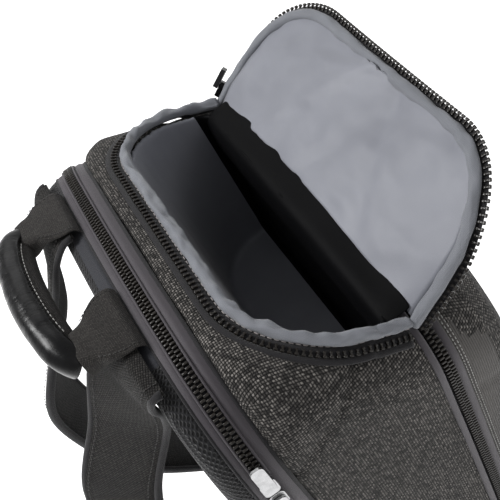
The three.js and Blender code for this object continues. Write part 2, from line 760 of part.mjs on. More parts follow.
// Stations down a shoulder strap. drop: share of its length below the bag's top; back: share of its
// bow behind the seam; side: distance from the middle as a share of half the bag's width; face: turn
// of the strap's width away from straight across, as a share of a right angle; tilt: fall of its
// outer edge; wide and thick: shares of its width and thickness; dome: fall of both edges.
const strapStations = [
  { drop: 0.0040, back: 0.07, side: 0.458, face: 0.00, tilt: 0.13, wide: 1.40, thick: 0.40, dome: 1.6 },
  { drop: 0.0065, back: 0.16, side: 0.458, face: 0.00, tilt: 0.125, wide: 1.36, thick: 0.45, dome: 1.2 },
  { drop: 0.041, back: 0.26, side: 0.446, face: 0.08, tilt: 0.13, wide: 1.30, thick: 0.60, dome: 0.8 },
  { drop: 0.085, back: 0.31, side: 0.420, face: 0.20, tilt: 0.13, wide: 1.20, thick: 0.70, dome: 0.8 },
  { drop: 0.138, back: 0.39, side: 0.400, face: 0.37, tilt: 0.12, wide: 1.08, thick: 0.85, dome: 0.4 },
  { drop: 0.205, back: 0.50, side: 0.367, face: 0.51, tilt: 0.12, wide: 1.0, thick: 1.0, dome: 0.0 },
  { drop: 0.260, back: 0.66, side: 0.360, face: 0.555, tilt: 0.12, wide: 1.0, thick: 1.0, dome: 0.0 },
  { drop: 0.338, back: 0.88, side: 0.367, face: 0.555, tilt: 0.12, wide: 1.0, thick: 1.0, dome: 0.0 },
  { drop: 0.425, back: 0.98, side: 0.410, face: 0.50, tilt: 0.10, wide: 1.0, thick: 1.0, dome: 0.0 },
  { drop: 0.548, back: 1.00, side: 0.470, face: 0.42, tilt: 0.08, wide: 1.0, thick: 1.0, dome: 0.0 },
  { drop: 0.668, back: 0.99, side: 0.524, face: 0.31, tilt: 0.06, wide: 1.0, thick: 1.0, dome: 0.0 },
  { drop: 0.783, back: 0.89, side: 0.572, face: 0.21, tilt: 0.04, wide: 1.0, thick: 1.0, dome: 0.0 },
  { drop: 0.888, back: 0.72, side: 0.620, face: 0.12, tilt: 0.02, wide: 0.96, thick: 0.9, dome: 0.0 },
  { drop: 1.000, back: 0.52, side: 0.660, face: 0.04, tilt: 0.0, wide: 0.8, thick: 0.7, dome: 0.0 },
];
const strapAcross = (row, sign, share) => {
  const turn = row.face * share * Math.PI / 2;
  return vec(-sign * Math.cos(turn), Math.sin(turn), row.tilt).normalize();
};

// The right strap is twisted less than the left one, about its inner edge
const strapStation = (row, sign) => {
  const mirrored = strapAcross(row, sign, 1);
  const width = strapAcross(row, sign, sign > 0 ? rightStrapTwist : 1);
  const reach = row.wide * strapWidth / 2;
  const centre = vec(
    sign * row.side * half,
    rearGussetY + row.back * strapBow,
    bodyHeight - row.drop * strapLength,
  ).addScaledVector(mirrored, reach).addScaledVector(width, -reach);
  return { centre, width, form: vec(row.wide, row.thick, row.dome) };
};

// Section of a strap; up is 1 or -1, the side of the section that faces away from the bag
const strapSection = (centre, width, run, form, up) => {
  const normal = new THREE.Vector3().crossVectors(width, run).normalize();
  const side = new THREE.Vector3().crossVectors(run, normal).normalize();
  const corners = [[-0.5, -0.25], [-0.42, -0.5], [0, -0.5], [0.42, -0.5], [0.5, -0.25],
    [0.5, 0.25], [0.42, 0.5], [0, 0.5], [-0.42, 0.5], [-0.5, 0.25]];
  return corners.map(([a, b]) => centre.clone()
    .addScaledVector(side, a * strapWidth * form.x)
    .addScaledVector(normal, b * strapThickness * form.y - up * form.z * (2 * a) ** 2));
};

const makeStraps = () => {
  [['left', -1], ['right', 1]].forEach(([which, sign]) => {
    const stations = strapStations.map((row) => strapStation(row, sign));
    const centres = new THREE.CatmullRomCurve3(stations.map((s) => s.centre), false, 'centripetal');
    const widths = new THREE.CatmullRomCurve3(stations.map((s) => s.width), false, 'centripetal');
    const forms = new THREE.CatmullRomCurve3(stations.map((s) => s.form), false, 'centripetal');
    const steps = 16;
    const rings = [];
    for (let i = 0; i <= steps; i += 1) {
      const t = i / steps;
      const run = centres.getTangent(t);
      rings.push(strapSection(centres.getPoint(t), widths.getPoint(t), run, forms.getPoint(t), -sign));
    }
    addPart(`shoulder_strap_${which}`, loft(rings), 'strap');

    const end = centres.getPoint(1);
    const down = centres.getTangent(1);
    const across = widths.getPoint(1).normalize();
    const plate = addPart(`strap_adjuster_${which}`,
      slab(adjusterHeight, adjusterWidth, adjusterThickness, 3), 'plastic');
    const out = new THREE.Vector3().crossVectors(across, down).normalize();
    const facing = out.y < 0 ? out.negate() : out;
    const seat = end.clone()
      .addScaledVector(down, adjusterHeight / 2 + clearance * 2)
      .addScaledVector(facing, -adjusterThickness / 2);
    place(plate, seat, down, facing);

    const anchorTop = padBottom + anchorHeight;
    const anchorY = backFaceY + clearance;
    const anchor = new THREE.Shape();
    const inner = sign * (anchorX - anchorWidth / 2);
    const outer = sign * (anchorX + anchorWidth / 4);
    anchor.moveTo(inner, padBottom * 0.75);
    anchor.lineTo(outer, padBottom * 0.75 + anchorHeight * 0.45);
    anchor.lineTo(outer, anchorTop);
    anchor.lineTo(outer - sign * webbingWidth * 1.1, anchorTop);
    anchor.closePath();
    const wing = new THREE.ExtrudeGeometry(anchor, { depth: anchorThickness, bevelEnabled: false });
    wing.rotateX(Math.PI / 2);
    wing.translate(0, anchorY + anchorThickness, 0);
    addPart(`strap_anchor_${which}`, wing, 'ballistic');

    const from = seat.clone()
      .addScaledVector(down, adjusterHeight / 2 + webbingThickness * 2)
      .addScaledVector(facing, adjusterThickness / 2);
    const seatX = outer - sign * webbingWidth * 0.55;
    const to = vec(seatX, anchorY + anchorThickness + webbingThickness / 2 + clearance, anchorTop - webbingLap);
    const bend = vec(mix(from.x, to.x, 0.55), mix(from.y, to.y, 0.75), mix(from.z, to.z, 0.5));
    const before = vec(seatX, to.y + 1.5, to.z + webbingRise);
    const route = new THREE.CatmullRomCurve3([from, bend, before, to], false, 'centripetal');
    const webbing = [];
    const webSteps = 10;
    for (let i = 0; i <= webSteps; i += 1) {
      const t = i / webSteps;
      const run = route.getTangent(t);
      const lie = across.clone().lerp(vec(-sign, 0, 0), t).normalize();
      const normal = new THREE.Vector3().crossVectors(lie, run).normalize();
      const side = new THREE.Vector3().crossVectors(run, normal).normalize();
      const p = route.getPoint(t);
      webbing.push([[-0.5, -0.5], [0.5, -0.5], [0.5, 0.5], [-0.5, 0.5]].map(([a, b]) =>
        p.clone().addScaledVector(side, a * webbingWidth).addScaledVector(normal, b * webbingThickness)));
    }
    addPart(`strap_webbing_${which}`, loft(webbing), 'strap');
  });
};

// Front: outer shell, its zip with two strips, and the pocket on the front face
const makeFront = () => {
  const outer = stretchRings(frontSections, frontShellY, frontDepth);
  const inner = [...frontSections].reverse().map((row) => {
    const y = frontShellY - Math.min(row.at * frontDepth, frontDepth - clothWall * (2 - row.at));
    return sectionRing(sized(row, clothWall), y, frontLean);
  });
  addPart('front_shell', loft([...outer.reverse(), ...inner.reverse()]), 'ballistic');

  const rows = [
    { ...mainSections[mainSections.length - 1], at: 0 },
    { ...frontSections[0], at: 1 },
  ];
  const y0 = frontZipY + zipWidth / 2;
  const y1 = frontZipY - zipWidth / 2;
  const chain = archStrip(rows, y0, zipWidth, y0, y1, frontZipEnd, -clothWall, zipThickness + 0.6);
  addPart('front_zip', chain, 'teeth');
  addPart('front_bottom_strip', lowerStrip(rows, y0, zipWidth, frontZipEnd), 'smooth');

  const bodyStrip = archStrip(mainSections, mainBackY, mainDepth,
    mainFrontY + stripWidth, mainFrontY + clearance, frontZipEnd, clearance, stripThickness);
  addPart('front_zip_body_strip', bodyStrip, 'smooth');
  const pocketStrip = archStrip(frontSections, frontShellY, frontDepth,
    frontShellY - clearance, frontShellY - stripWidth, frontZipEnd, clearance, stripThickness);
  addPart('front_zip_pocket_strip', pocketStrip, 'smooth');

  const arch = archOf(rows, y0, zipWidth, frontZipY, frontZipEnd);
  const [a, b] = [arch[0], arch[1]];
  const along = vec(b.x - a.x, b.y - a.y, b.z - a.z).normalize();
  const out = vec(-along.z, 0, along.x).normalize();
  const seat = vec(a.x, a.y, a.z)
    .addScaledVector(along, sliderLength * 0.7)
    .addScaledVector(out, stripThickness * 1.6 + clearance * 2);
  addSlider('front_slider', 'front_pull', seat, along.clone().negate(), out, 'nickel');
};

const makeFrontPocket = () => {
  const top = pocketTopShare * bodyHeight;
  const low = pocketBottomShare * bodyHeight;
  const faceY = (z) => frontFaceY + frontLean * (bodyHeight - z) - clearance;
  const radius = pocketHalfWidth * 0.5;
  const outline = (inset) => {
    const points = [];
    const reach = pocketHalfWidth - inset;
    const r = radius - inset;
    points.push([-reach, low + inset]);
    for (let i = 0; i <= 5; i += 1) {
      const turn = (i / 5) * Math.PI / 2;
      points.push([-reach + r - r * Math.cos(turn), top - inset - r + r * Math.sin(turn)]);
    }
    const mirrored = points.map(([x, z]) => [-x, z]).reverse();
    return [...points, ...mirrored];
  };
  const layer = (inset, lift) => outline(inset).map(([x, z]) => vec(x, faceY(z) - lift, z));
  const chainInset = zipWidth + clearance;
  addPart('front_pocket_panel', loft([
    layer(chainInset, 0), layer(chainInset, pocketPanelThickness * 0.6),
    layer(chainInset + pocketPanelThickness, pocketPanelThickness),
  ]), 'ballistic');
  const a = outline(0);
  const b = outline(zipWidth);
  addPart('front_pocket_zip', loft(a.map(([x, z], i) => {
    const [u, w] = b[i];
    return [vec(x, faceY(z), z), vec(u, faceY(w), w),
      vec(u, faceY(w) - zipThickness, w), vec(x, faceY(z) - zipThickness, z)];
  })), 'teeth');
};

const makeHatchSlider = () => {
  const [x, root] = lidOutline(teethWidth / 2 + clearance * 3).at(-1);
  const reach = root + sliderLength * 0.8;
  const height = teethHeight - tapeThickness;
  const seat = lidPoint(x, reach, height);
  const along = lidPoint(x, reach + 5, height).sub(seat).normalize();
  const across = lidPoint(x + 4, reach, height).sub(lidPoint(x - 4, reach, height));
  const out = new THREE.Vector3().crossVectors(along, across).normalize();
  if (out.z < 0) out.negate();
  const body = addPart('hatch_slider', slab(sliderLength, sliderWidth, sliderThickness, 3), 'blackMetal');
  place(body, seat.clone().addScaledVector(out, clearance), along, out);
  const pull = addPart('hatch_pull', slab(clothPullLength, clothPullWidth, pullThickness * 2, 2), 'darkCloth');
  const raised = seat.clone()
    .addScaledVector(out, sliderThickness + clearance * 2)
    .addScaledVector(along, clothPullLength / 2);
  place(pull, raised, along, out);
};

makeMainShell();
makeBasePanel();
makeHatchLining();
makeHatchTrim();
makeLid();
makeHatchSlider();
makeLaptopSection();
makeLaptopSliders();
makeBackPad();
makeHandle();
makeStraps();
makeFront();
makeFrontPocket();

export default group;
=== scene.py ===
"""Camera backpack with its hatch open: cloth, zips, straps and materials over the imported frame."""
import math

import bmesh
import bpy
from mathutils import Matrix, Vector, noise
from mathutils.bvhtree import BVHTree


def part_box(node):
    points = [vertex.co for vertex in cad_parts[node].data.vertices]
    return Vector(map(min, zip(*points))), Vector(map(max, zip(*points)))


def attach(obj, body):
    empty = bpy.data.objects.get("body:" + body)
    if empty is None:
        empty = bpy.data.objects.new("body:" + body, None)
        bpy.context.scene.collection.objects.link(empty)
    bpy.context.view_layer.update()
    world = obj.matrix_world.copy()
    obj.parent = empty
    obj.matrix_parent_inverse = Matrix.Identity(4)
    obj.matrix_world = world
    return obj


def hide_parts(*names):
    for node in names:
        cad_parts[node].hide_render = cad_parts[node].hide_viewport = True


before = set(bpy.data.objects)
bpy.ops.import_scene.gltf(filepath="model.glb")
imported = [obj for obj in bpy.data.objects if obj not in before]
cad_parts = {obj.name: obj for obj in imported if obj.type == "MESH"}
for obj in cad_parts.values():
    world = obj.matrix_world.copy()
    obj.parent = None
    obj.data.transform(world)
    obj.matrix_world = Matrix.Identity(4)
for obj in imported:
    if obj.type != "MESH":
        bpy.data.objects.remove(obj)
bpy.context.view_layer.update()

# Camera, fitted to the photograph
IMAGE_PX = 500
FOCAL_PX = 983.8
PRINCIPAL_PX = (218.4, 265.9)
SENSOR_MM = 36
CAMERA_RISE = math.radians(46.21)
CAMERA_TURN = math.radians(-0.1274)
CAMERA_ROLL = math.radians(35.3)
CAMERA_TARGET = Vector((-0.0387, 0.0242, 0.4530))
CAMERA_DISTANCE = 0.6472


def add_camera():
    back = Vector((
        -math.cos(CAMERA_TURN) * math.cos(CAMERA_RISE),
        -math.sin(CAMERA_TURN) * math.cos(CAMERA_RISE),
        math.sin(CAMERA_RISE),
    ))
    right = Vector((math.sin(CAMERA_TURN), -math.cos(CAMERA_TURN), 0))
    up = back.cross(right)
    across = right * math.cos(CAMERA_ROLL) - up * math.sin(CAMERA_ROLL)
    upward = right * math.sin(CAMERA_ROLL) + up * math.cos(CAMERA_ROLL)
    data = bpy.data.cameras.new("camera")
    data.sensor_width = SENSOR_MM
    data.lens = FOCAL_PX / IMAGE_PX * SENSOR_MM
    data.shift_x = (IMAGE_PX / 2 - PRINCIPAL_PX[0]) / IMAGE_PX
    data.shift_y = (PRINCIPAL_PX[1] - IMAGE_PX / 2) / IMAGE_PX
    camera = bpy.data.objects.new("camera", data)
    bpy.context.scene.collection.objects.link(camera)
    turn = Matrix((across, upward, back)).transposed().to_4x4()
    camera.matrix_world = Matrix.Translation(CAMERA_TARGET + back * CAMERA_DISTANCE) @ turn
    bpy.context.scene.camera = camera


add_camera()

# Sizes read from the frame, in metres
TAPE_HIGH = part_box("hatch_tape")[1]
ZIP_LOW, ZIP_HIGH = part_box("laptop_zip")
FRONT_ZIP_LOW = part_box("front_zip")[0]
TRAY_LOW, TRAY_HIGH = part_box("laptop_tray")
REAR_LOW, REAR_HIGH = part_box("laptop_rear_gusset")
GUSSET_LOW, GUSSET_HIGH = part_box("laptop_front_gusset")
FRONT_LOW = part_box("front_shell")[0]
LINING_LOW, LINING_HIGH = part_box("hatch_lining")
GRIP_LOW, GRIP_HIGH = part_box("handle_grip")
POCKET_LOW, POCKET_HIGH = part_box("front_pocket_zip")

# Sizes shared with the solids, in metres
BAG_HEIGHT = 0.480
FRONT_LEAN = 0.03
HATCH_END_GAP = 0.0024
HATCH_HALF = TAPE_HIGH.x
HATCH_BACK = TAPE_HIGH.y
HINGE = HATCH_BACK - 0.094
HATCH_CORNER = 0.066
HINGE_BOW = 0.0045
LID_REACH = 0.108
LID_SLOPE = math.radians(28)
LID_GAP = 0.004
LID_SEAT = 0.0033
LID_SAG = 0.004
ZIP_WIDTH = 0.0075
RIM_OFFSET = -0.008
RIM_RADIUS = 0.004
CENTRE_Z = 0.24
MAIN_FRONT = HINGE - 0.006
HALF_WIDTH = 0.166
SEAM_Y = GUSSET_LOW.y
STRIP_WIDTH = 0.0054
HANDLE_REACH = 0.063
HANDLE_RADIUS = 0.011
HANDLE_BACK_SHARE = 0.72
HANDLE_RISE = 0.013
HANDLE_STANDOFF = 0.011
TAB_ROOT = REAR_HIGH.y - 0.00035
TAB_REACH = 0.031
TAB_WIDTH = 0.054
TAB_INNER = 0.033
TAB_EDGE_INSET = 0.008
STRAP_WIDTH = 0.060
STRAP_THICKNESS = 0.010
STRAP_BOW = 0.100
RIGHT_STRAP_TWIST = 0.5
STRAP_LENGTH = 0.400

# Sizes of the zips, threads and cloths that only the scene shows, in metres, with shares of them
TOOTH_PITCH = 0.0041
CHAIN_PITCH = 0.0033
CHAIN_LIFT = 0.0006
STITCH_SHARE = 0.66
THREAD_WIDTH = 0.0007
THREAD_HEIGHT = 0.0006
LINING_CLOTH = 0.0011
LID_CLOTH = 0.0009
WALL_CLOTH = 0.002
BAND_CLOTH = 0.0018
BAND_BULGE = 0.0007
RIB_YARN = 0.0011
MESH_HOLES = (0.0032, 0.0024)

# Corners of the finer rings that are read off the solids' skins
RING_POINTS = 480

UPWARD = Vector((0, 0, 1))
FORWARD = Vector((0, -1, 0))


def surface(*nodes):
    """Search tree over the CAD skins of these nodes."""
    bm = bmesh.new()
    for node in nodes:
        bm.from_mesh(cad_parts[node].data)
    tree = BVHTree.FromBMesh(bm)
    bm.free()
    return tree


def smoothed(values, rounds, closed=False):
    """Moving average of a list of numbers or points; its ends stay where they are."""
    for _ in range(rounds):
        last = list(values)
        count = len(last)
        for i in range(count):
            if closed or 0 < i < count - 1:
                values[i] = (last[i - 1] + last[i] * 2 + last[(i + 1) % count]) / 4
    return values


class Track:
    """A path with an outward direction at each point, read by length along it."""

    def __init__(self, points, outs):
        self.points = points
        self.outs = outs
        self.marks = [0.0]
        for a, b in zip(points, points[1:]):
            self.marks.append(self.marks[-1] + (b - a).length)
        self.length = self.marks[-1]
        self.index = 0

    @classmethod
    def facing(cls, points, out):
        """Track whose outward direction is the same all along."""
        return cls(points, [out] * len(points))

    def place(self, s, across=0.0, out=0.0):
        """Matrix at length s: X runs along, Y across and Z out of the surface."""
        s = min(max(s, 0.0), self.length)
        while self.index > 0 and self.marks[self.index] > s:
            self.index -= 1
        while self.index < len(self.points) - 2 and self.marks[self.index + 1] < s:
            self.index += 1
        i = self.index
        span = self.marks[i + 1] - self.marks[i]
        t = (s - self.marks[i]) / span if span else 0.0
        point = self.points[i].lerp(self.points[i + 1], t)
        before = self.points[max(i - 1, 0)]
        after = self.points[min(i + 2, len(self.points) - 1)]
        along = (after - before).normalized()
        normal = self.outs[i].lerp(self.outs[i + 1], t)
        side = normal.cross(along).normalized()
        normal = along.cross(side).normalized()
        matrix = Matrix((along, side, normal)).transposed().to_4x4()
        matrix.translation = point + side * across + normal * out
        return matrix

    def spaced(self, pitch, start=0.0, end=None):
        """Lengths along the track at an even pitch, half a pitch in from both ends."""
        end = self.length if end is None else end
        count = max(int((end - start) / pitch), 1)
        return [start + (end - start) * (k + 0.5) / count for k in range(count)]


def add_piece(name, bm, key, node):
    """Piece with a bmesh's shape that stands for a CAD node."""
    mesh = bpy.data.meshes.new(name)
    bm.to_mesh(mesh)
    bm.free()
    for face in mesh.polygons:
        face.use_smooth = True
    obj = bpy.data.objects.new(name, mesh)
    bpy.context.scene.collection.objects.link(obj)
    mesh.materials.append(FINISHES[key])
    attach(obj, "root")
    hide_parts(node)
    return obj


def lofted(rings, closed_rings=True, capped=True):
    """Skin through rings of equal count: the first ring is drawn, and each next one extruded from it."""
    bm = bmesh.new()
    count = len(rings[0])
    row = [bm.verts.new(point) for point in rings[0]]
    first = row
    pairs = range(count if closed_rings else count - 1)
    edges = [bm.edges.new((row[i], row[(i + 1) % count])) for i in pairs]
    for ring in rings[1:]:
        made = bmesh.ops.extrude_edge_only(bm, edges=edges)["geom"]
        fresh = {item for item in made if isinstance(item, bmesh.types.BMVert)}
        following = []
        for vert, point in zip(row, ring):
            partner = next(e.other_vert(vert) for e in vert.link_edges if e.other_vert(vert) in fresh)
            partner.co = point
            following.append(partner)
        row = following
        edges = [bm.edges.get((row[i], row[(i + 1) % count])) for i in pairs]
    if capped and closed_rings:
        bmesh.ops.contextual_create(bm, geom=first)
        bmesh.ops.contextual_create(bm, geom=row)
    bmesh.ops.recalc_face_normals(bm, faces=bm.faces)
    return bm


def circle(radius, sides, across=0.0, out=0.0, flat=1.0):
    return [(across + radius * math.cos(2 * math.pi * k / sides),
             out + radius * flat * math.sin(2 * math.pi * k / sides)) for k in range(sides)]


def block(across_low, across_high, out_low, out_high, round_by=0.0003):
    """Section of a flat strip with softened corners."""
    r = round_by
    return [
        (across_low + r, out_low), (across_high - r, out_low), (across_high, out_low + r),
        (across_high, out_high - r), (across_high - r, out_high), (across_low + r, out_high),
        (across_low, out_high - r), (across_low, out_low + r),
    ]


def swept(name, track, section, key, node, step=0.002, swell=None):
    """A section drawn along a track; swell(s, across, out) may return it moved."""
    rings = []
    for s in track.spaced(step):
        matrix = track.place(s)
        shape = [swell(s, a, b) for a, b in section] if swell else section
        rings.append([matrix @ Vector((0, a, b)) for a, b in shape])
    return add_piece(name, lofted(rings), key, node)


def rounded_box(size, bevel, centre=(0, 0, 0), segments=2):
    bm = bmesh.new()
    bmesh.ops.create_cube(bm, size=1)
    bmesh.ops.scale(bm, vec=size, verts=bm.verts)
    bmesh.ops.bevel(bm, geom=bm.edges[:], offset=bevel, segments=segments, affect="EDGES",
                    profile=0.5, material=-1)
    bmesh.ops.translate(bm, vec=centre, verts=bm.verts)
    return bm


def merged(*shapes):
    whole = bmesh.new()
    for shape in shapes:
        mesh = bpy.data.meshes.new("part")
        shape.to_mesh(mesh)
        whole.from_mesh(mesh)
        bpy.data.meshes.remove(mesh)
        shape.free()
    return whole


def repeated(name, unit, places, key, node):
    """Copies of one small shape at each place, as one mesh."""
    template = bpy.data.meshes.new("unit")
    unit.to_mesh(template)
    unit.free()
    bm = bmesh.new()
    for matrix in places:
        before = len(bm.verts)
        bm.from_mesh(template)
        bm.verts.ensure_lookup_table()
        bmesh.ops.transform(bm, matrix=matrix, verts=bm.verts[before:])
    bpy.data.meshes.remove(template)
    return add_piece(name, bm, key, node)


# Materials

class Finish:
    """A node material, written from its shader backwards."""

    def __init__(self, name, roughness=0.8, metallic=0.0, sheen=0.0, specular=0.5, coat=0.0):
        self.material = bpy.data.materials.new(name)
        self.material.use_nodes = True
        self.tree = self.material.node_tree
        self.shader = self.tree.nodes["Principled BSDF"]
        values = {
            "Roughness": roughness, "Metallic": metallic, "Sheen Weight": sheen,
            "Specular IOR Level": specular, "Coat Weight": coat,
        }
        for socket, value in values.items():
            self.shader.inputs[socket].default_value = value

    def node(self, kind, *sockets, fed=None, **settings):
        """New node, its inputs fed in their order or, through fed, by name."""
        made = self.tree.nodes.new(kind)
        for key, value in settings.items():
            setattr(made, key, value)
        for socket, value in (*enumerate(sockets), *(fed or {}).items()):
            self.feed(made.inputs[socket], value)
        return made

    def feed(self, socket, value):
        if value is None:
            return
        if isinstance(value, bpy.types.NodeSocket):
            self.tree.links.new(value, socket)
        else:
            socket.default_value = value

    def math(self, operation, *values):
        return self.node("ShaderNodeMath", *values, operation=operation).outputs[0]

    def line(self, value, slope, base):
        return self.math("ADD", self.math("MULTIPLY", value, slope), base)

    def wave(self, value, pitch=1.0):
        """Round ridges, one for each pitch."""
        return self.math("ABSOLUTE", self.math("SINE", self.math("MULTIPLY", value, math.pi / pitch)))

    def blend(self, factor, a, b, kind="RGBA"):
        fed = {"Factor": factor, "A": a, "B": b}
        return self.node("ShaderNodeMix", fed=fed, data_type=kind).outputs["Result"]

    def place(self):
        return self.node("ShaderNodeTexCoord").outputs["Object"]

    def noise(self, vector, scale, detail=2.0, roughness=0.5):
        fed = {"Vector": vector, "Scale": scale, "Detail": detail, "Roughness": roughness}
        return self.node("ShaderNodeTexNoise", fed=fed).outputs["Fac"]

    def stretched(self, vector, scale, turn=(0, 0, 0)):
        fed = {"Vector": vector, "Rotation": turn, "Scale": scale}
        return self.node("ShaderNodeMapping", fed=fed).outputs["Vector"]

    def ramp(self, factor, low, high):
        fed = {"Value": factor, "From Min": low, "From Max": high}
        return self.node("ShaderNodeMapRange", fed=fed).outputs["Result"]

    def facing_plane(self, turn=0.0):
        """The two object coordinates of the plane that the surface mostly faces, turned in it."""
        spot = self.node("ShaderNodeSeparateXYZ", self.place())
        normal = self.node("ShaderNodeNewGeometry").outputs["Normal"]
        facing = self.node("ShaderNodeVectorMath", normal, operation="ABSOLUTE").outputs[0]
        facing = self.node("ShaderNodeSeparateXYZ", facing)
        x, y, z = (facing.outputs[k] for k in range(3))
        side = self.math("GREATER_THAN", x, self.math("MAXIMUM", y, z))
        top = self.math("GREATER_THAN", z, self.math("MAXIMUM", x, y))
        u = self.blend(side, spot.outputs[0], spot.outputs[1], "FLOAT")
        v = self.blend(top, spot.outputs[2], spot.outputs[1], "FLOAT")
        plane = self.node("ShaderNodeCombineXYZ", u, v).outputs[0]
        return self.stretched(plane, (1, 1, 1), (0, 0, turn))

    def weave(self, plane, pitch, grouped=1.0):
        """Height of a plain weave, and a random tone for each crossing."""
        scaled = self.stretched(plane, (1 / pitch, grouped / pitch, 1))
        parts = self.node("ShaderNodeSeparateXYZ", scaled)
        u, v = parts.outputs[0], parts.outputs[1]
        cells = self.math("ADD", self.math("FLOOR", u), self.math("FLOOR", v))
        over = self.math("PINGPONG", cells, 1.0)
        ridge_u = self.wave(u)
        ridge_v = self.wave(v)
        warp = self.math("MULTIPLY", ridge_u, self.math("POWER", ridge_v, 0.4))
        weft = self.math("MULTIPLY", ridge_v, self.math("POWER", ridge_u, 0.4))
        height = self.blend(over, warp, self.math("MULTIPLY", weft, 0.8), "FLOAT")
        cell = self.node("ShaderNodeVectorMath", scaled, operation="FLOOR").outputs[0]
        tone = self.node("ShaderNodeTexWhiteNoise", cell, noise_dimensions="3D").outputs[0]
        return height, tone

    def colour(self, value):
        self.feed(self.shader.inputs["Base Color"], value)

    def rough(self, value):
        self.feed(self.shader.inputs["Roughness"], value)

    def relief(self, height, depth, after=None):
        """Bump of a real depth, on top of an earlier one where it is given."""
        fed = {"Strength": 1.0, "Distance": depth, "Height": height, "Normal": after}
        normal = self.node("ShaderNodeBump", fed=fed).outputs["Normal"]
        self.feed(self.shader.inputs["Normal"], normal)
        return normal


def shade(value):
    """Linear colour from an sRGB hex string."""
    parts = [int(value[k:k + 2], 16) / 255 for k in (0, 2, 4)]
    return (*[p / 12.92 if p <= 0.04045 else ((p + 0.055) / 1.055) ** 2.4 for p in parts], 1)


def woven_cloth(name, dark, light, pitch, depth, roughness=0.8, sheen=0.06, turn=0.0, speckle=0.5,
                grouped=1.0):
    """Cloth whose weave shows as painted highlights on the yarn crests and painted shade between them, with
    uneven yarns and slow changes of tone.
    """
    cloth = Finish(name, roughness=roughness, sheen=sheen, specular=0.25)
    plane = cloth.facing_plane(turn)
    height, tone = cloth.weave(plane, pitch, grouped)
    # Colour follows the weave's height: painted highlight on the yarn crests, painted shade between them;
    # the yarns' random tone and a slow drift come on top.
    lit = cloth.math("MULTIPLY", height, cloth.line(tone, speckle, 1 - speckle))
    drift = cloth.ramp(cloth.noise(cloth.place(), 14, 3), 0.3, 0.75)
    lit = cloth.math("POWER", lit, 1.6)
    lit = cloth.math("MULTIPLY", lit, cloth.line(drift, 0.35, 0.8))
    cloth.colour(cloth.blend(lit, shade(dark), shade(light)))
    cloth.relief(height, depth)
    return cloth.material


def plain_cloth(name, dark, light, grain, depth, roughness=0.6, sheen=0.2, specular=0.4):
    """Close cloth or tape whose yarns barely show."""
    cloth = Finish(name, roughness=roughness, sheen=sheen, specular=specular)
    plane = cloth.facing_plane()
    height, tone = cloth.weave(plane, grain)
    drift = cloth.noise(cloth.place(), 22, 4)
    # Colour: 0.35 from the weave's height, as painted highlight on the yarn crests and painted shade between
    # them, and 0.65 slow random drift.
    mixed = cloth.math("ADD", cloth.math("MULTIPLY", height, 0.35), cloth.math("MULTIPLY", drift, 0.65))
    cloth.colour(cloth.blend(mixed, shade(dark), shade(light)))
    cloth.relief(cloth.math("ADD", height, cloth.math("MULTIPLY", tone, 0.4)), depth)
    return cloth.material


def grosgrain(name, dark, light, pitch, depth):
    """Ribbed cloth whose ribs run round the bag."""
    cloth = Finish(name, roughness=0.75, sheen=0.2, specular=0.35)
    spot = cloth.node("ShaderNodeSeparateXYZ", cloth.place())
    lean = cloth.math("MULTIPLY", spot.outputs[2], FRONT_LEAN)
    across = cloth.math("DIVIDE", cloth.math("ADD", spot.outputs[1], lean), pitch)
    rib = cloth.wave(across)
    girth = cloth.math("ADD", spot.outputs[0], spot.outputs[2])
    yarn = cloth.wave(girth, RIB_YARN)
    height = cloth.math("MULTIPLY", cloth.math("POWER", rib, 0.6), cloth.line(yarn, 0.3, 0.7))
    drift = cloth.ramp(cloth.noise(cloth.place(), 16, 3), 0.3, 0.75)
    # Colour follows the ribs' height: painted highlight on the rib crests and painted shade between them,
    # times a slow random drift.
    tone = cloth.math("MULTIPLY", height, cloth.line(drift, 0.4, 0.7))
    cloth.colour(cloth.blend(tone, shade(dark), shade(light)))
    cloth.relief(height, depth)
    return cloth.material


def moulded_plastic(name, dark, light, roughness):
    plastic = Finish(name, roughness=roughness, specular=0.5)
    grain = plastic.noise(plastic.place(), 900, 2)
    plastic.colour(plastic.blend(plastic.noise(plastic.place(), 60, 2), shade(dark), shade(light)))
    plastic.rough(plastic.line(grain, 0.2, roughness - 0.1))
    plastic.relief(grain, 0.00004)
    return plastic.material


def polished_metal(name, dark, light, roughness):
    metal = Finish(name, roughness=roughness, metallic=1.0)
    wear = metal.noise(metal.place(), 180, 5, 0.6)
    metal.colour(metal.blend(wear, shade(dark), shade(light)))
    metal.rough(metal.line(wear, 0.25, roughness - 0.08))
    metal.relief(wear, 0.00005)
    return metal.material


def handle_leather():
    skin = Finish("handle_skin", roughness=0.3, specular=0.3, coat=0.1)
    skin.shader.inputs["Coat Roughness"].default_value = 0.25
    place = skin.place()
    creases = skin.noise(skin.stretched(place, (150, 40, 40)), 1.0, 4, 0.6)
    pores = skin.node("ShaderNodeTexVoronoi", fed={"Vector": place, "Scale": 1400})
    # The crease noise also colours the hide, lighter on the crests and darker in the valleys: painted shade
    # in the creases.
    skin.colour(skin.blend(creases, shade("050506"), shade("0e0e10")))
    skin.rough(skin.line(creases, 0.35, 0.12))
    soft = skin.relief(creases, 0.0006)
    skin.relief(pores.outputs["Distance"], 0.00006, after=soft)
    return skin.material


def air_mesh():
    """Spacer mesh with rows of small holes."""
    mesh = Finish("air_mesh", roughness=0.85, sheen=0.2, specular=0.3)
    plane = mesh.facing_plane(math.radians(45))
    cells = mesh.stretched(plane, (1 / MESH_HOLES[0], 1 / MESH_HOLES[1], 1))
    holes = mesh.node("ShaderNodeTexVoronoi", fed={"Vector": cells, "Scale": 1.0, "Randomness": 0.12},
                      feature="F1")
    open_share = mesh.ramp(holes.outputs["Distance"], 0.25, 0.48)
    # The holes are not cut; they are painted near black, as painted shade in them, and bumped.
    mesh.colour(mesh.blend(open_share, shade("020203"), shade("1d1d20")))
    mesh.relief(open_share, 0.0008)
    return mesh.material


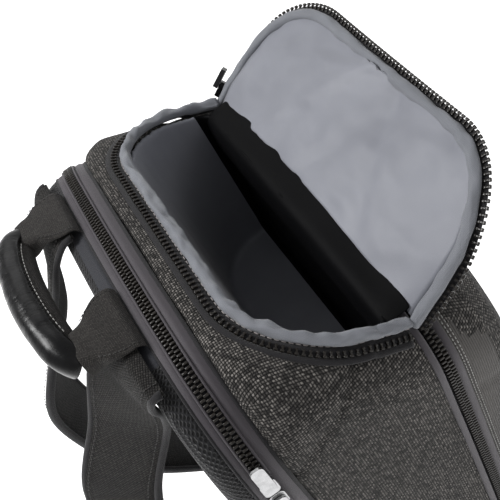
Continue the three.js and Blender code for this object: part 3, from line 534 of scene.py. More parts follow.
FINISHES = {
    "ballistic": woven_cloth("ballistic", "080707", "a39e99", 0.0018, 0.0008, speckle=0.75),
    "ribbed": grosgrain("ribbed", "141312", "5d5956", 0.0017, 0.0004),
    "strap": woven_cloth("strap", "050505", "4d4a47", 0.0016, 0.0006, turn=math.radians(24)),
    "tab": woven_cloth("tab", "0e0d0c", "605c59", 0.00095, 0.0003, turn=math.radians(45)),
    "smooth": plain_cloth("smooth", "3c383d", "514c51", 0.0005, 0.00006),
    "dark_tape": plain_cloth("dark_tape", "0f0e11", "211f23", 0.0007, 0.00015, roughness=0.8),
    # Near-black lining: painted shade for the lining that lies in shadow.
    "shadowed_lining": plain_cloth("shadowed_lining", "030304", "08080a", 0.0005, 0.00005, sheen=0.0,
                                   specular=0.1),
    "lining": plain_cloth("lining", "73757e", "9ea0a9", 0.0004, 0.00004, roughness=0.4, sheen=0.3),
    "binding": plain_cloth("binding", "6e7077", "92959c", 0.0009, 0.0002, roughness=0.6, sheen=0.3),
    "pale_thread": plain_cloth("pale_thread", "97908f", "b6b0ae", 0.0004, 0.0001),
    "webbing": woven_cloth("webbing", "0f0e0e", "4c4a49", 0.0011, 0.0003, turn=math.radians(45)),
    "navy": plain_cloth("navy", "14151c", "262832", 0.0007, 0.0001),
    "teeth": moulded_plastic("teeth", "14110e", "2b2621", 0.32),
    "plastic": moulded_plastic("plastic", "0c0c0e", "1a1a1d", 0.45),
    "nickel": polished_metal("nickel", "8f8f90", "d9d9da", 0.2),
    "black_metal": polished_metal("black_metal", "0d0d0e", "2c2c2e", 0.35),
    "thread": plain_cloth("thread", "8a8a88", "b9b8b4", 0.0004, 0.0001),
    "dark_thread": plain_cloth("dark_thread", "1c1b1b", "3c3a39", 0.0004, 0.0001),
    "handle": handle_leather(),
    "mesh": air_mesh(),
}

# Hatch: its plan, the top that it lies on, and the lid

TOP = surface("main_shell")


def top_height(x, y):
    hit = TOP.ray_cast(Vector((x, y, 1)), -UPWARD)[0]
    return hit.z if hit else BAG_HEIGHT * 0.88


def corner_arc(left, top, radius, steps):
    """Points of a quarter round, from the left side up to the top."""
    turns = [i / steps * math.pi / 2 for i in range(steps + 1)]
    return [(left + radius - radius * math.cos(t), top - radius + radius * math.sin(t)) for t in turns]


def hatch_plan(offset, front, side=24, corner=26, back=44):
    """Points of the U round the hatch, from one hinge end to the other, grown by offset."""
    reach = HATCH_HALF + offset
    rear = HATCH_BACK + offset
    radius = HATCH_CORNER + offset
    points = [(-reach, front + (rear - radius - front) * i / side) for i in range(side)]
    points += corner_arc(-reach, rear, radius, corner)
    for i in range(1, back):
        points.append((-reach + radius + 2 * (reach - radius) * i / back, rear))
    mirrored = [(-x, y) for x, y in reversed(points[:side + corner + 1])]
    return points + mirrored


def hatch_track():
    plan = hatch_plan(0.0, HINGE + HATCH_END_GAP)
    heights = smoothed([top_height(x, y) for x, y in plan], 12)
    points = [Vector((x, y, z)) for (x, y), z in zip(plan, heights)]
    outs = []
    spread = 0.006
    for x, y in plan:
        slope_x = (top_height(x + spread, y) - top_height(x - spread, y)) / (2 * spread)
        slope_y = (top_height(x, y + spread) - top_height(x, y - spread)) / (2 * spread)
        outs.append(Vector((-slope_x, -slope_y, 1)).normalized())
    return Track(points, smoothed(outs, 14))


ROOT_HEIGHTS = smoothed([top_height(HATCH_HALF * k / 40, HINGE) for k in range(-44, 45)], 6)


def root_height(x):
    k = (x / HATCH_HALF) * 40 + 44
    low = min(max(int(k), 0), len(ROOT_HEIGHTS) - 2)
    return ROOT_HEIGHTS[low] + (ROOT_HEIGHTS[low + 1] - ROOT_HEIGHTS[low]) * (k - low)


LID_LEVEL = root_height(HATCH_HALF - HATCH_CORNER / 3)


def lid_point(x, reach, height=0.0):
    """Point of the opened lid: across, away from the hinge, and out of its lining."""
    along = min(max(reach, 0.0) / LID_REACH, 1.0)
    endwise = 1 - (x / HATCH_HALF) ** 2
    level = LID_LEVEL - LID_SAG * endwise
    y = HINGE - HINGE_BOW * max(endwise, 0.0) * (1 - along) - LID_GAP
    z = root_height(x) * (1 - along) + level * along + LID_SEAT
    return Vector((
        x,
        y - reach * math.cos(LID_SLOPE) + height * math.sin(LID_SLOPE),
        z + reach * math.sin(LID_SLOPE) + height * math.cos(LID_SLOPE),
    ))


def lid_outline(offset):
    depth = HATCH_BACK - HINGE
    return [(x, (y - HINGE) / (depth + offset) * (LID_REACH + offset))
            for x, y in hatch_plan(offset, HINGE)]


def lid_track():
    outline = lid_outline(0.0)[::-1]
    points = [lid_point(x, reach) for x, reach in outline]
    outs = []
    spread = 0.004
    for x, reach in outline:
        across = lid_point(x + spread, reach) - lid_point(x - spread, reach)
        along = lid_point(x, reach + spread) - lid_point(x, reach - spread)
        normal = along.cross(across).normalized()
        outs.append(normal if normal.z > 0 else -normal)
    return Track(points, smoothed(outs, 10))


def ridge(value, centre, width):
    return math.exp(-((value - centre) / width) ** 2)


def lid_fold(x, reach):
    """Height of the lining's soft folds and of its padding."""
    across = x / HATCH_HALF
    along = reach / LID_REACH
    edge = min(1 - abs(across), along + 0.15, 1.05 - along)
    puff = 0.0035 * (1 - math.exp(-max(edge, 0) * 7))
    spot = Vector((x * 16 + along * 1.6, along * 2.4 - across * 1.2, 0.4))
    folds = noise.noise(spot) * 0.0034 + noise.noise(spot * 2.6 + Vector((4, 1, 3))) * 0.0014
    creases = 0.0024 * ridge(across * 0.6 + along, 0.95, 0.06)
    creases -= 0.0024 * ridge(across - along * 0.4, -0.5, 0.06)
    creases += 0.0020 * ridge(across + along * 0.5, 0.55, 0.05)
    creases -= 0.0018 * ridge(across + along * 0.3, 0.05, 0.07)
    hem = 0.0012 * noise.noise(Vector((x * 60, reach * 60, 2.0))) * max(0.0, 1 - edge * 5)
    return puff + folds + creases * (1 - abs(across)) + hem


def lid_skin(offset, height, across_steps=72):
    """Grid over the lid's outline; height(x, reach) is its distance from the lid's own plane."""
    outline = lid_outline(offset)
    middle = len(outline) // 2
    rings = []
    for x, reach in outline[:middle - 20]:
        ring = []
        for j in range(across_steps + 1):
            spot = x * (1 - 2 * j / across_steps)
            ring.append(lid_point(spot, reach, height(spot, reach)))
        rings.append(ring)
    return lofted(rings, closed_rings=False, capped=False)


def thicken(obj, amount):
    solid = obj.modifiers.new("wall", "SOLIDIFY")
    solid.thickness = amount
    solid.offset = -1.0


LINING_INSET = -0.0075
LID_ROLL_OFFSET = -0.0055
LID_PAD = 0.0065


def dress_lid():
    lining = add_piece("lid_lining_cloth", lid_skin(LINING_INSET, lambda x, r: 0.0012 + lid_fold(x, r)),
                       "lining", "lid_lining")
    if lining.data.polygons[0].normal.z < 0:
        lining.data.flip_normals()
    thicken(lining, LINING_CLOTH)

    def under(x, reach):
        edge = min(1 - abs(x) / HATCH_HALF, 1.03 - reach / LID_REACH, reach / LID_REACH + 0.02)
        return -LID_PAD * (1 - math.exp(-max(edge, 0) * 9)) - 0.0008

    shell = add_piece("lid_shell", lid_skin(RIM_OFFSET + 0.003, under), "ballistic", "lid_pad")
    if shell.data.polygons[0].normal.z > 0:
        shell.data.flip_normals()
    thicken(shell, LID_CLOTH)


def crumple(amount, along, seed, middle=RIM_OFFSET):
    """Swell for a rolled binding: it bulges and puckers as it goes."""
    def move(s, a, b):
        push = 1 + amount * noise.noise(Vector((s * along, a * 300, seed + b * 300)))
        return middle + (a - middle) * push, b * push
    return move


def tooth(neck, head, length, height):
    """Moulded tooth: a foot on the tape, a neck and a T-shaped head."""
    foot = rounded_box((neck * 1.5, length * 0.3, height), 0.00025, (0, -length * 0.32, 0))
    stem = rounded_box((neck, length * 0.5, height * 0.8), 0.00018, (0, 0, 0))
    tip = rounded_box((head, length * 0.34, height), 0.00035, (0, length * 0.34, 0))
    return merged(foot, stem, tip)


# Sections of the tapes, across and out of their tracks, and a tooth's neck, head, length and height
HATCH_TAPE = block(-0.0044, 0.0018, 0.0004, 0.0012)
HATCH_TOOTH = (0.0012, 0.0024, 0.0044, 0.0019)
LID_TAPE = block(-0.0062, 0.0022, -0.0012, -0.0002)
LID_TOOTH = (0.0012, 0.0025, 0.0050, 0.0020)
GUTTER = [
    (0.0024, 0.0001), (0.0066, -0.0004), (0.0072, 0.0003), (0.0066, 0.0010), (0.0052, 0.0013),
    (0.0036, 0.0012), (0.0024, 0.0008),
]


def edge_teeth(name, track, across, out, sizes, node):
    """Half of an opened zip: one tooth after the other along its tape."""
    places = [track.place(s, across, out) for s in track.spaced(TOOTH_PITCH)]
    repeated(name, tooth(*sizes), places, "teeth", node)


def dress_hatch_edge():
    track = hatch_track()
    swept("hatch_rim_roll", track, circle(RIM_RADIUS * 1.02, 14, RIM_OFFSET, RIM_RADIUS + 0.0004), "binding",
          "hatch_rim_binding", step=0.0018, swell=crumple(0.35, 95, 3.0))
    swept("hatch_tape_cloth", track, HATCH_TAPE, "dark_tape", "hatch_tape")
    edge_teeth("hatch_zip_teeth", track, 0.0008, 0.0020, HATCH_TOOTH, "hatch_teeth")
    swept("hatch_gutter_tape", track, GUTTER, "dark_tape", "hatch_gutter")
    stitches("hatch_rim_stitches", track, -0.0043, 0.0020, "hatch_rim_binding", "pale_thread",
             pitch=0.0046)


def dress_lid_edge():
    track = lid_track()
    section = circle(RIM_RADIUS * 1.05, 14, LID_ROLL_OFFSET, RIM_RADIUS * 0.6, flat=0.8)
    swept("lid_roll", track, section, "binding", "lid_binding", step=0.0018,
          swell=crumple(0.3, 80, 8.0, LID_ROLL_OFFSET))
    swept("lid_tape_cloth", track, LID_TAPE, "dark_tape", "lid_tape")
    edge_teeth("lid_zip_teeth", track, 0.0018, 0.0002, LID_TOOTH, "lid_teeth")


# Body

def face_outward(bm, centre):
    """Turn the faces over where most of them look towards the centre."""
    bm.normal_update()
    if sum(face.normal.dot(face.calc_center_median() - centre) for face in bm.faces) < 0:
        bmesh.ops.reverse_faces(bm, faces=bm.faces)
        bm.normal_update()


def reshaped(bm, form):
    """Move each point by form(point, normal), all worked out before the first moves."""
    moves = [(vert, form(vert.co, vert.normal)) for vert in bm.verts]
    for vert, move in moves:
        vert.co += move


def soft_copy(name, node, voxel, rounds, key, form=None):
    """Soft skin over a CAD solid: remeshed evenly, smoothed, then moved by form(point, normal)."""
    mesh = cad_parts[node].data.copy()
    obj = bpy.data.objects.new(name, mesh)
    bpy.context.scene.collection.objects.link(obj)
    remesh = obj.modifiers.new("remesh", "REMESH")
    remesh.mode = "VOXEL"
    remesh.voxel_size = voxel
    graph = bpy.context.evaluated_depsgraph_get()
    even = bpy.data.meshes.new_from_object(obj.evaluated_get(graph))
    bpy.data.objects.remove(obj)
    bm = bmesh.new()
    bm.from_mesh(even)
    for _ in range(rounds):
        bmesh.ops.smooth_vert(bm, verts=bm.verts, factor=0.5, use_axis_x=True, use_axis_y=True,
                              use_axis_z=True)
    if form:
        bm.normal_update()
        reshaped(bm, form)
    return add_piece(name, bm, key, node)


# Slanting seam of the side panels, in the plane of a side
SEAM_START = Vector((0, -0.036, 0.445))
SEAM_RUN = Vector((0, 0.060, 0.392)) - SEAM_START


def seam_distance(point):
    """Distance from the slanting seam of a side panel, either side of the bag."""
    spot = Vector((0, point.y, point.z)) - SEAM_START
    t = min(max(spot.dot(SEAM_RUN) / SEAM_RUN.length_squared, 0), 1)
    return (spot - SEAM_RUN * t).length


def body_form(point, normal):
    """Seam groove and slow dents of the padded body."""
    low = noise.noise(point * 14) * 0.0011 + noise.noise(point * 34 + Vector((3, 1, 2))) * 0.0005
    groove = 0.0
    if abs(point.x) > 0.12:
        groove = -0.0016 * math.exp(-(seam_distance(point) / 0.0035) ** 2)
    return normal * (low + groove)


def dress_body():
    soft_copy("main_body", "main_shell", 0.0038, 5, "ballistic", body_form)
    lining = soft_copy("hatch_tub", "hatch_lining", 0.0025, 3, "lining",
                       lambda p, n: n * noise.noise(p * 30) * 0.0006)
    lining.data.materials.append(FINISHES["shadowed_lining"])
    # The tub's front wall and front edge take the near-black shadowed lining: painted shade, as that wall
    # lies in shadow.
    for face in lining.data.polygons:
        front_wall = face.normal.y > 0.55 and face.center.y < (LINING_LOW.y + LINING_HIGH.y) / 2
        front_edge = face.center.y < LINING_LOW.y + 0.012
        face.material_index = 1 if front_wall or front_edge else 0


def around(tree, y, count=240, lean=0.0):
    """Points of the skin all round the bag at one depth, from the base up the left side and over."""
    ring = []
    for k in range(count):
        angle = -math.pi / 2 - 2 * math.pi * k / count
        out = Vector((math.cos(angle), 0, math.sin(angle)))
        depth = y
        for _ in range(3 if lean else 1):
            found = tree.ray_cast(Vector((0, depth, CENTRE_Z)) + out * 0.5, -out, 0.45)[0]
            hit = found or (ring[-1].copy() if ring else Vector((0, depth, 0)))
            depth = y + lean * (BAG_HEIGHT - hit.z)
        ring.append(hit)
    return smoothed(ring, 4, closed=True)


def ring_track(ring, low):
    """Track over the top of a ring, between its two points at height low."""
    upper = [point for point in ring if point.z > low]
    outs = []
    for i, point in enumerate(upper):
        a, b = upper[max(i - 1, 0)], upper[min(i + 1, len(upper) - 1)]
        run = b - a
        outs.append(Vector((-run.z, 0, run.x)).normalized())
    return Track(upper, outs)


def band(name, tree, near, far, node):
    """Smooth cloth band all round the bag between two depths, a little crowned."""
    steps = 8
    rings = []
    for i in range(steps + 1):
        t = i / steps
        y = near + (far - near) * min(max(t, 0.03), 0.97)
        ring = around(tree, y)
        rise = BAND_BULGE * math.sin(math.pi * t)
        moved = []
        for k, point in enumerate(ring):
            run = ring[(k + 1) % len(ring)] - ring[k - 1]
            out = Vector((-run.z, 0, run.x)).normalized()
            spot = point + out * rise
            spot.y += (near + (far - near) * t) - y
            moved.append(spot)
        rings.append(moved)
    bm = lofted(rings, capped=False)
    face_outward(bm, Vector((0, near, CENTRE_Z)))
    thicken(add_piece(name, bm, "smooth", node), BAND_CLOTH)


def closed_chain(name, track, node):
    """Interlocked teeth on both sides of a zip's middle."""
    half = ZIP_WIDTH / 2
    unit = rounded_box((CHAIN_PITCH * 0.52, half * 1.0, 0.0024), 0.0005)
    bmesh.ops.translate(unit, vec=(0, -half * 0.46, 0), verts=unit.verts)
    places = []
    for s in track.spaced(CHAIN_PITCH):
        places.append(track.place(s, 0, CHAIN_LIFT))
        places.append(track.place(s + CHAIN_PITCH / 2, 0, CHAIN_LIFT) @ Matrix.Rotation(math.pi, 4, "Z"))
    repeated(name, unit, places, "teeth", node)
    swept(f"{name}_tape", track, block(-half, half, -0.0016, -0.0006), "dark_tape", node,
          step=0.004)


def stitches(name, track, across, out, node, key="dark_thread", pitch=0.0034, inset=0.0):
    """Row of single stitches along a track, short of both its ends by inset."""
    unit = rounded_box((pitch * STITCH_SHARE, THREAD_WIDTH, THREAD_HEIGHT), 0.00022, segments=1)
    places = [track.place(s, across, out) for s in track.spaced(pitch, inset, track.length - inset)]
    repeated(name, unit, places, key, node)


def dress_laptop_section():
    tree = surface("laptop_zip", "laptop_bottom_strip", "laptop_rear_gusset", "laptop_front_gusset",
                   "laptop_tray")
    middle = (ZIP_LOW.y + ZIP_HIGH.y) / 2
    track = ring_track(around(tree, middle, RING_POINTS), ZIP_LOW.z)
    closed_chain("laptop_zip_chain", track, "laptop_zip")
    band("laptop_rear_panel", tree, REAR_HIGH.y, REAR_LOW.y, "laptop_rear_gusset")
    band("laptop_front_panel", tree, GUSSET_HIGH.y, GUSSET_LOW.y, "laptop_front_gusset")
    for place, side in (("front", -1), ("back", 1)):
        across = side * (ZIP_WIDTH / 2 + 0.0008)
        swept(f"laptop_zip_ridge_{place}", track, circle(0.0009, 8, across, 0.0002), "smooth", "laptop_zip")
    seams = surface("main_shell", "laptop_front_gusset")
    for name, skin, y, radius, node in (
        ("front_seam_roll", seams, SEAM_Y, 0.0017, "laptop_front_gusset"),
        ("back_seam_roll", tree, REAR_HIGH.y, 0.0011, "laptop_rear_gusset"),
    ):
        ring = around(skin, y, RING_POINTS)
        loop = ring_track(ring + ring[:1], -1)
        swept(name, loop, circle(radius, 10, 0, -radius * 0.6), "dark_tape", node, step=0.003)


def skin_over(name, rings, face_at, key, node, form=None):
    """Cloth through rings, closed by a face whose depth at (x, z) is face_at; form moves its points."""
    last = rings[-1]
    centre = sum(last, Vector()) / len(last)
    for scale in (0.97, 0.92, 0.84, 0.74, 0.62, 0.48, 0.34, 0.2, 0.08):
        ring = []
        for point in last:
            spot = centre.lerp(point, scale)
            spot.y = face_at(spot.x, spot.z)
            ring.append(spot)
        rings.append(ring)
    bm = lofted(rings, capped=False)
    core = (centre.x, centre.z)
    inmost = [v for v in bm.verts if math.dist((v.co.x, v.co.z), core) < 0.03]
    bmesh.ops.contextual_create(bm, geom=inmost)
    face_outward(bm, centre)
    if form:
        reshaped(bm, form)
    obj = add_piece(name, bm, key, node)
    thicken(obj, WALL_CLOTH)
    return obj


TRAY_SHARES = (0.98, 0.8, 0.6, 0.42, 0.28, 0.16, 0.08, 0.02)
NAVY_HALF = 0.095
NAVY_FALL = 0.04
EDGE_ROUND = 0.0075


def dress_tray():
    """Back wall of the laptop section, with its rounded edge."""
    tree = surface("laptop_tray")
    depth = TRAY_HIGH.y - TRAY_LOW.y
    rings = [around(tree, TRAY_HIGH.y - share * depth) for share in TRAY_SHARES]
    wall = skin_over("laptop_back_wall", rings, lambda x, z: TRAY_HIGH.y, "navy", "laptop_tray")
    wall.data.materials.append(FINISHES["mesh"])
    for face in wall.data.polygons:
        spot = face.center
        between_tabs = abs(spot.x) < NAVY_HALF and spot.z > TRAY_HIGH.z - NAVY_FALL
        face.material_index = 0 if between_tabs and spot.y < TRAY_HIGH.y - EDGE_ROUND else 1


def paint_node(node, finish_name):
    """A hard CAD node whose shape is right keeps it and gets its material."""
    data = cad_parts[node].data
    data.materials.clear()
    data.materials.append(FINISHES[finish_name])


# Front section

def strip(name, track, low, high, height, key, node, out=0.0):
    swept(name, track, block(low, high, out, out + height, 0.0004), key, node, step=0.003)


def front_form(point, normal):
    """Slow dents of the padded front, with a cross seam in each side."""
    low = noise.noise(point * 11 + Vector((5, 2, 8))) * 0.0014 + noise.noise(point * 31) * 0.0004
    groove = 0.0
    if abs(normal.x) > 0.6:
        groove = -0.0014 * ridge(point.z, 0.325 + (point.y + 0.09) * 0.6, 0.0028)
    return normal * (low + groove)


def pocket_outline(inset, side=12, corner=10):
    """Arch of the front pocket, up its left side, over and down, in the plane of the bag's front."""
    reach = POCKET_HIGH.x - inset
    low = POCKET_LOW.z + inset
    top = POCKET_HIGH.z - inset
    radius = POCKET_HIGH.x * 0.5 - inset
    points = [(-reach, low + (top - radius - low) * k / side) for k in range(side)]
    points += corner_arc(-reach, top, radius, corner)
    return points + [(-x, z) for x, z in reversed(points)]


def dress_front_face():
    skin = surface("front_shell")

    def on_front(x, z, lift=0.0):
        hit = skin.ray_cast(Vector((x, -0.5, z)), -FORWARD)[0]
        return Vector((x, (hit.y if hit else FRONT_LOW.y) - lift, z))

    route = [on_front(x, z, 0.0012) for x, z in pocket_outline(ZIP_WIDTH / 2)]
    track = Track.facing(route, FORWARD)
    closed_chain("front_pocket_chain", track, "front_pocket_zip")
    for name, across in (("outer", -ZIP_WIDTH / 2 - 0.0030), ("inner", ZIP_WIDTH / 2 + 0.0004)):
        strip(f"front_pocket_tape_{name}", track, across, across + 0.0028, 0.0012, "dark_tape",
              "front_pocket_zip", -0.0012)
    soft_copy("front_pocket_cloth", "front_pocket_panel", 0.0016, 3, "ballistic",
              lambda p, n: n * (noise.noise(p * 18) * 0.0009))
    inner = [on_front(x, z, 0.0036) for x, z in pocket_outline(ZIP_WIDTH + 0.006)]
    stitches("front_pocket_stitches", Track.facing(inner, FORWARD), 0, 0, "front_pocket_panel")


FRONT_DEPTH = 0.055
FRONT_ZIP_INSET = 0.0041
PANEL_GAP = 0.0007
FRONT_SHARES = (
    0.005, 0.06, 0.12, 0.18, 0.25, 0.32, 0.4, 0.48, 0.56, 0.64, 0.72, 0.79, 0.85, 0.9, 0.94, 0.97, 0.99,
)


def dress_front():
    skin = surface("front_shell")
    start = MAIN_FRONT - ZIP_WIDTH - PANEL_GAP
    rings = [around(skin, start - share * FRONT_DEPTH, lean=FRONT_LEAN) for share in FRONT_SHARES]
    face_y = start - FRONT_DEPTH
    shell = skin_over("front_body", rings, lambda x, z: face_y + FRONT_LEAN * (BAG_HEIGHT - z), "ballistic",
                      "front_shell", front_form)
    shell.data.materials.append(FINISHES["ribbed"])
    for face in shell.data.polygons:
        face.material_index = 1 if face.normal.y > -0.45 and face.center.z > 0.02 else 0
    tree = surface("front_shell", "front_zip", "front_bottom_strip", "main_shell")
    middle = MAIN_FRONT - FRONT_ZIP_INSET

    def arch(y):
        return ring_track(around(tree, y, RING_POINTS, FRONT_LEAN), FRONT_ZIP_LOW.z)

    track = arch(middle)
    closed_chain("front_zip_chain", track, "front_zip")
    body_side = arch(MAIN_FRONT + STRIP_WIDTH / 2 + 0.0006)
    swept("front_zip_piping", body_side, circle(0.0026, 10, 0, 0.0002, flat=0.7), "smooth",
          "front_zip_body_strip", step=0.003)
    pocket_side = arch(middle - ZIP_WIDTH / 2 - STRIP_WIDTH / 2)
    strip("front_zip_tape", pocket_side, -STRIP_WIDTH / 2, STRIP_WIDTH / 2, 0.0016, "smooth",
          "front_zip_pocket_strip", -0.0004)
    for k, across in enumerate((-0.0042, -0.0064)):
        stitches(f"front_gusset_stitches_{k + 1}", pocket_side, across, 0.0004, "front_shell",
                 "thread", pitch=0.0032)
    for name, node, y, lean in (
        ("front_foot_strip", "front_bottom_strip", middle, FRONT_LEAN),
        ("laptop_foot_strip", "laptop_bottom_strip", (ZIP_LOW.y + ZIP_HIGH.y) / 2, 0.0),
    ):
        ring = around(surface(node), y, RING_POINTS, lean)
        lower = [point for point in ring if point.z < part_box(node)[1].z - 0.0004]
        lower = sorted(lower, key=lambda p: math.atan2(p.z - CENTRE_Z, p.x))
        outs = [Vector((p.x, 0, p.z - CENTRE_Z)).normalized() for p in lower]
        for k in range(1, len(lower) - 1):
            run = lower[k + 1] - lower[k - 1]
            outs[k] = Vector((run.z, 0, -run.x)).normalized()
        strip(name, Track(lower, outs), -ZIP_WIDTH / 2, ZIP_WIDTH / 2, 0.0022, "smooth", node,
              -0.0018)


# Back: pad, straps, handle and tabs

def between(rows, t):
    """Values of a table's columns at share t of its rows, on a smooth curve through them."""
    last = len(rows) - 1
    place = min(max(t, 0.0), 1.0) * last
    i = min(int(place), last - 1)
    f = place - i
    picked = [rows[min(max(i + k, 0), last)] for k in (-1, 0, 1, 2)]
    return [
        0.5 * (2 * b + (c - a) * f + (2 * a - 5 * b + 4 * c - d) * f ** 2 + (3 * b - a - 3 * c + d) * f ** 3)
        for a, b, c, d in zip(*picked)
    ]


# Stations down a shoulder strap. Columns: fall below the bag's top as a share of its length; bow
# behind the seam; distance from the middle as a share of half the bag; turn of its width as a share
# of a right angle; tilt of its outer edge; shares of its width and thickness; fall of both edges.
STRAP_STATIONS = [
    (0.0040, 0.07, 0.458, 0.00, 0.130, 1.40, 0.40, 0.0016),
    (0.0065, 0.16, 0.458, 0.00, 0.125, 1.36, 0.45, 0.0012),
    (0.0410, 0.26, 0.446, 0.08, 0.130, 1.30, 0.60, 0.0008),
    (0.0850, 0.31, 0.420, 0.20, 0.130, 1.20, 0.70, 0.0008),
    (0.1380, 0.39, 0.400, 0.37, 0.120, 1.08, 0.85, 0.0004),
    (0.2050, 0.50, 0.367, 0.51, 0.120, 1.00, 1.00, 0.0),
    (0.2600, 0.66, 0.360, 0.555, 0.120, 1.00, 1.00, 0.0),
    (0.3380, 0.88, 0.367, 0.555, 0.120, 1.00, 1.00, 0.0),
    (0.4250, 0.98, 0.410, 0.50, 0.100, 1.00, 1.00, 0.0),
    (0.5480, 1.00, 0.470, 0.42, 0.080, 1.00, 1.00, 0.0),
    (0.6680, 0.99, 0.524, 0.31, 0.060, 1.00, 1.00, 0.0),
    (0.7830, 0.89, 0.572, 0.21, 0.040, 1.00, 1.00, 0.0),
    (0.8880, 0.72, 0.620, 0.12, 0.020, 0.96, 0.90, 0.0),
    (1.0000, 0.52, 0.660, 0.04, 0.000, 0.80, 0.70, 0.0),
]


def strap_across(face, tilt, side):
    turn = face * math.pi / 2
    return Vector((-side * math.cos(turn), math.sin(turn), tilt)).normalized()


def strap_centre(t, side):
    """Middle of a strap; the right one is twisted less than the left one, about its inner edge."""
    drop, back, aside, face, tilt, wide = between(STRAP_STATIONS, t)[:6]
    middle = Vector((
        side * aside * HALF_WIDTH,
        REAR_HIGH.y + back * STRAP_BOW,
        BAG_HEIGHT - drop * STRAP_LENGTH,
    ))
    if side > 0:
        reach = wide * STRAP_WIDTH / 2
        untwisted = strap_across(face * RIGHT_STRAP_TWIST, tilt, side)
        middle += (strap_across(face, tilt, side) - untwisted) * reach
    return middle


def strap_frame(t, side):
    """Middle, direction across, direction away from the bag, width, thickness and dome at t."""
    face, tilt, wide, thick, dome = between(STRAP_STATIONS, t)[3:]
    run = (strap_centre(t + 0.01, side) - strap_centre(t - 0.01, side)).normalized()
    width = strap_across(face * (RIGHT_STRAP_TWIST if side > 0 else 1), tilt, side)
    away = width.cross(run).normalized() * -side
    return strap_centre(t, side), width * side, away, wide * STRAP_WIDTH, thick * STRAP_THICKNESS, dome


def strap_point(t, side, a, b):
    """Point of a strap: a runs across it from -0.5 to 0.5, and b through its thickness."""
    centre, across, away, wide, thick, dome = strap_frame(t, side)
    return centre + across * (a * wide) + away * (b * thick - dome * (2 * a) ** 2)


def rounded(angle, power_a, power_b):
    """Point of a rounded oblong, half a unit each way."""
    c, d = math.cos(angle), math.sin(angle)
    return 0.5 * math.copysign(abs(c) ** power_a, c), 0.5 * math.copysign(abs(d) ** power_b, d)


# Places across a strap of its bindings and stitches, as shares of its width from the middle
BINDING_AT = 0.478
STITCHES_AT = 0.395


def dress_strap(which, side, steps=150, sides=36):
    node = f"shoulder_strap_{which}"
    rings = []
    for i in range(steps + 1):
        t = i / steps
        ring = []
        for k in range(sides):
            a, b = rounded(2 * math.pi * k / sides, 0.5, 0.75)
            inside = 1 - (2 * abs(a)) ** 6
            swell = noise.noise(Vector((t * 22, a * 2.4, side * 4.0))) * 0.10
            swell += 0.06 * ridge(abs(a), 0.0, 0.3)
            ring.append(strap_point(t, side, a * 0.985, b * (0.86 + swell * inside)))
        rings.append(ring)
    add_piece(f"{node}_pad", lofted(rings), "strap", node)
    for edge in (-1, 1):
        name = "outer" if edge * side > 0 else "inner"
        points = [strap_point(i / steps, side, edge * BINDING_AT, 0.0) for i in range(steps + 1)]
        outs = [strap_frame(i / steps, side)[2] for i in range(steps + 1)]
        track = Track(smoothed(points, 30), outs)

        def hem(s, a, b):
            thick = between(STRAP_STATIONS, s / track.length)[6]
            return a, b * (0.35 + 0.65 * thick)

        swept(f"{node}_{name}_binding", track, circle(0.0031, 12, 0, 0, flat=1.25), "dark_tape", node,
              step=0.003, swell=hem)
        sewn_points = [strap_point(i / steps, side, edge * STITCHES_AT, 0.47) for i in range(steps + 1)]
        stitches(f"{node}_{name}_stitches", Track(sewn_points, outs), 0, 0, node, pitch=0.0036)


def dress_webbing(which):
    node = f"strap_webbing_{which}"
    web = soft_copy(f"{node}_cloth", node, 0.0008, 1, "webbing")
    anchor = f"strap_anchor_{which}"
    soft_copy(f"{anchor}_cloth", anchor, 0.0011, 2, "tab")


def handle_track(steps=72):
    middle = (GRIP_LOW.x + GRIP_HIGH.x) / 2
    end_y = GRIP_HIGH.y - HANDLE_STANDOFF - HANDLE_RADIUS * HANDLE_BACK_SHARE
    end_z = GRIP_HIGH.z - HANDLE_RISE - HANDLE_RADIUS
    points, outs = [], []
    for i in range(steps + 1):
        turn = i / steps * math.pi
        swell = math.sin(turn)
        points.append(Vector((
            middle - HANDLE_REACH * math.cos(turn),
            end_y + HANDLE_STANDOFF * swell,
            end_z + HANDLE_RISE * swell,
        )))
        outs.append(Vector((-0.75 * math.cos(turn), 0.8, 0.45)).normalized())
    return Track(points, outs)


def leather_arc(radius, inner, reach, count=20):
    """Section of a hide wrapped round the handle, open towards the bag."""
    turns = [reach * (2 * k / count - 1) for k in range(count + 1)]
    outer = [(radius * math.sin(t), radius * math.cos(t)) for t in turns]
    return outer + [(inner * math.sin(t), inner * math.cos(t)) for t in reversed(turns)]


def dress_handle():
    track = handle_track()

    def taper(s):
        return min(s, track.length - s)

    def hide(s, a, b):
        lip = 0.10 * math.exp(-taper(s) / 0.0018)
        crease = 0.030 * noise.noise(Vector((s * 70, a * 160, b * 160)))
        crease *= 1 + 2.5 * math.exp(-taper(s) / 0.02)
        dent = 0.05 * ridge(s / track.length, 0.62, 0.05) * (1 if b > 0 else 0)
        grow = 1 + lip + crease - dent
        return a * grow, b * grow

    swept("handle_hide", track, leather_arc(0.0113, 0.0098, math.radians(118)), "handle", "handle_grip",
          step=0.0012, swell=hide)

    def lining(s, a, b):
        near_end = math.exp(-taper(s) / 0.016)
        return a * (1 - 0.25 * near_end), b * (1 - 0.15 * near_end) + 0.002 * near_end

    swept("handle_inner_web", track, circle(0.0086, 28, 0, -0.0062, flat=1.30), "tab", "handle_grip",
          swell=lining)
    stitches("handle_stitches", track, -0.0097, -0.0066, "handle_grip", "thread", pitch=0.0038,
             inset=0.018)


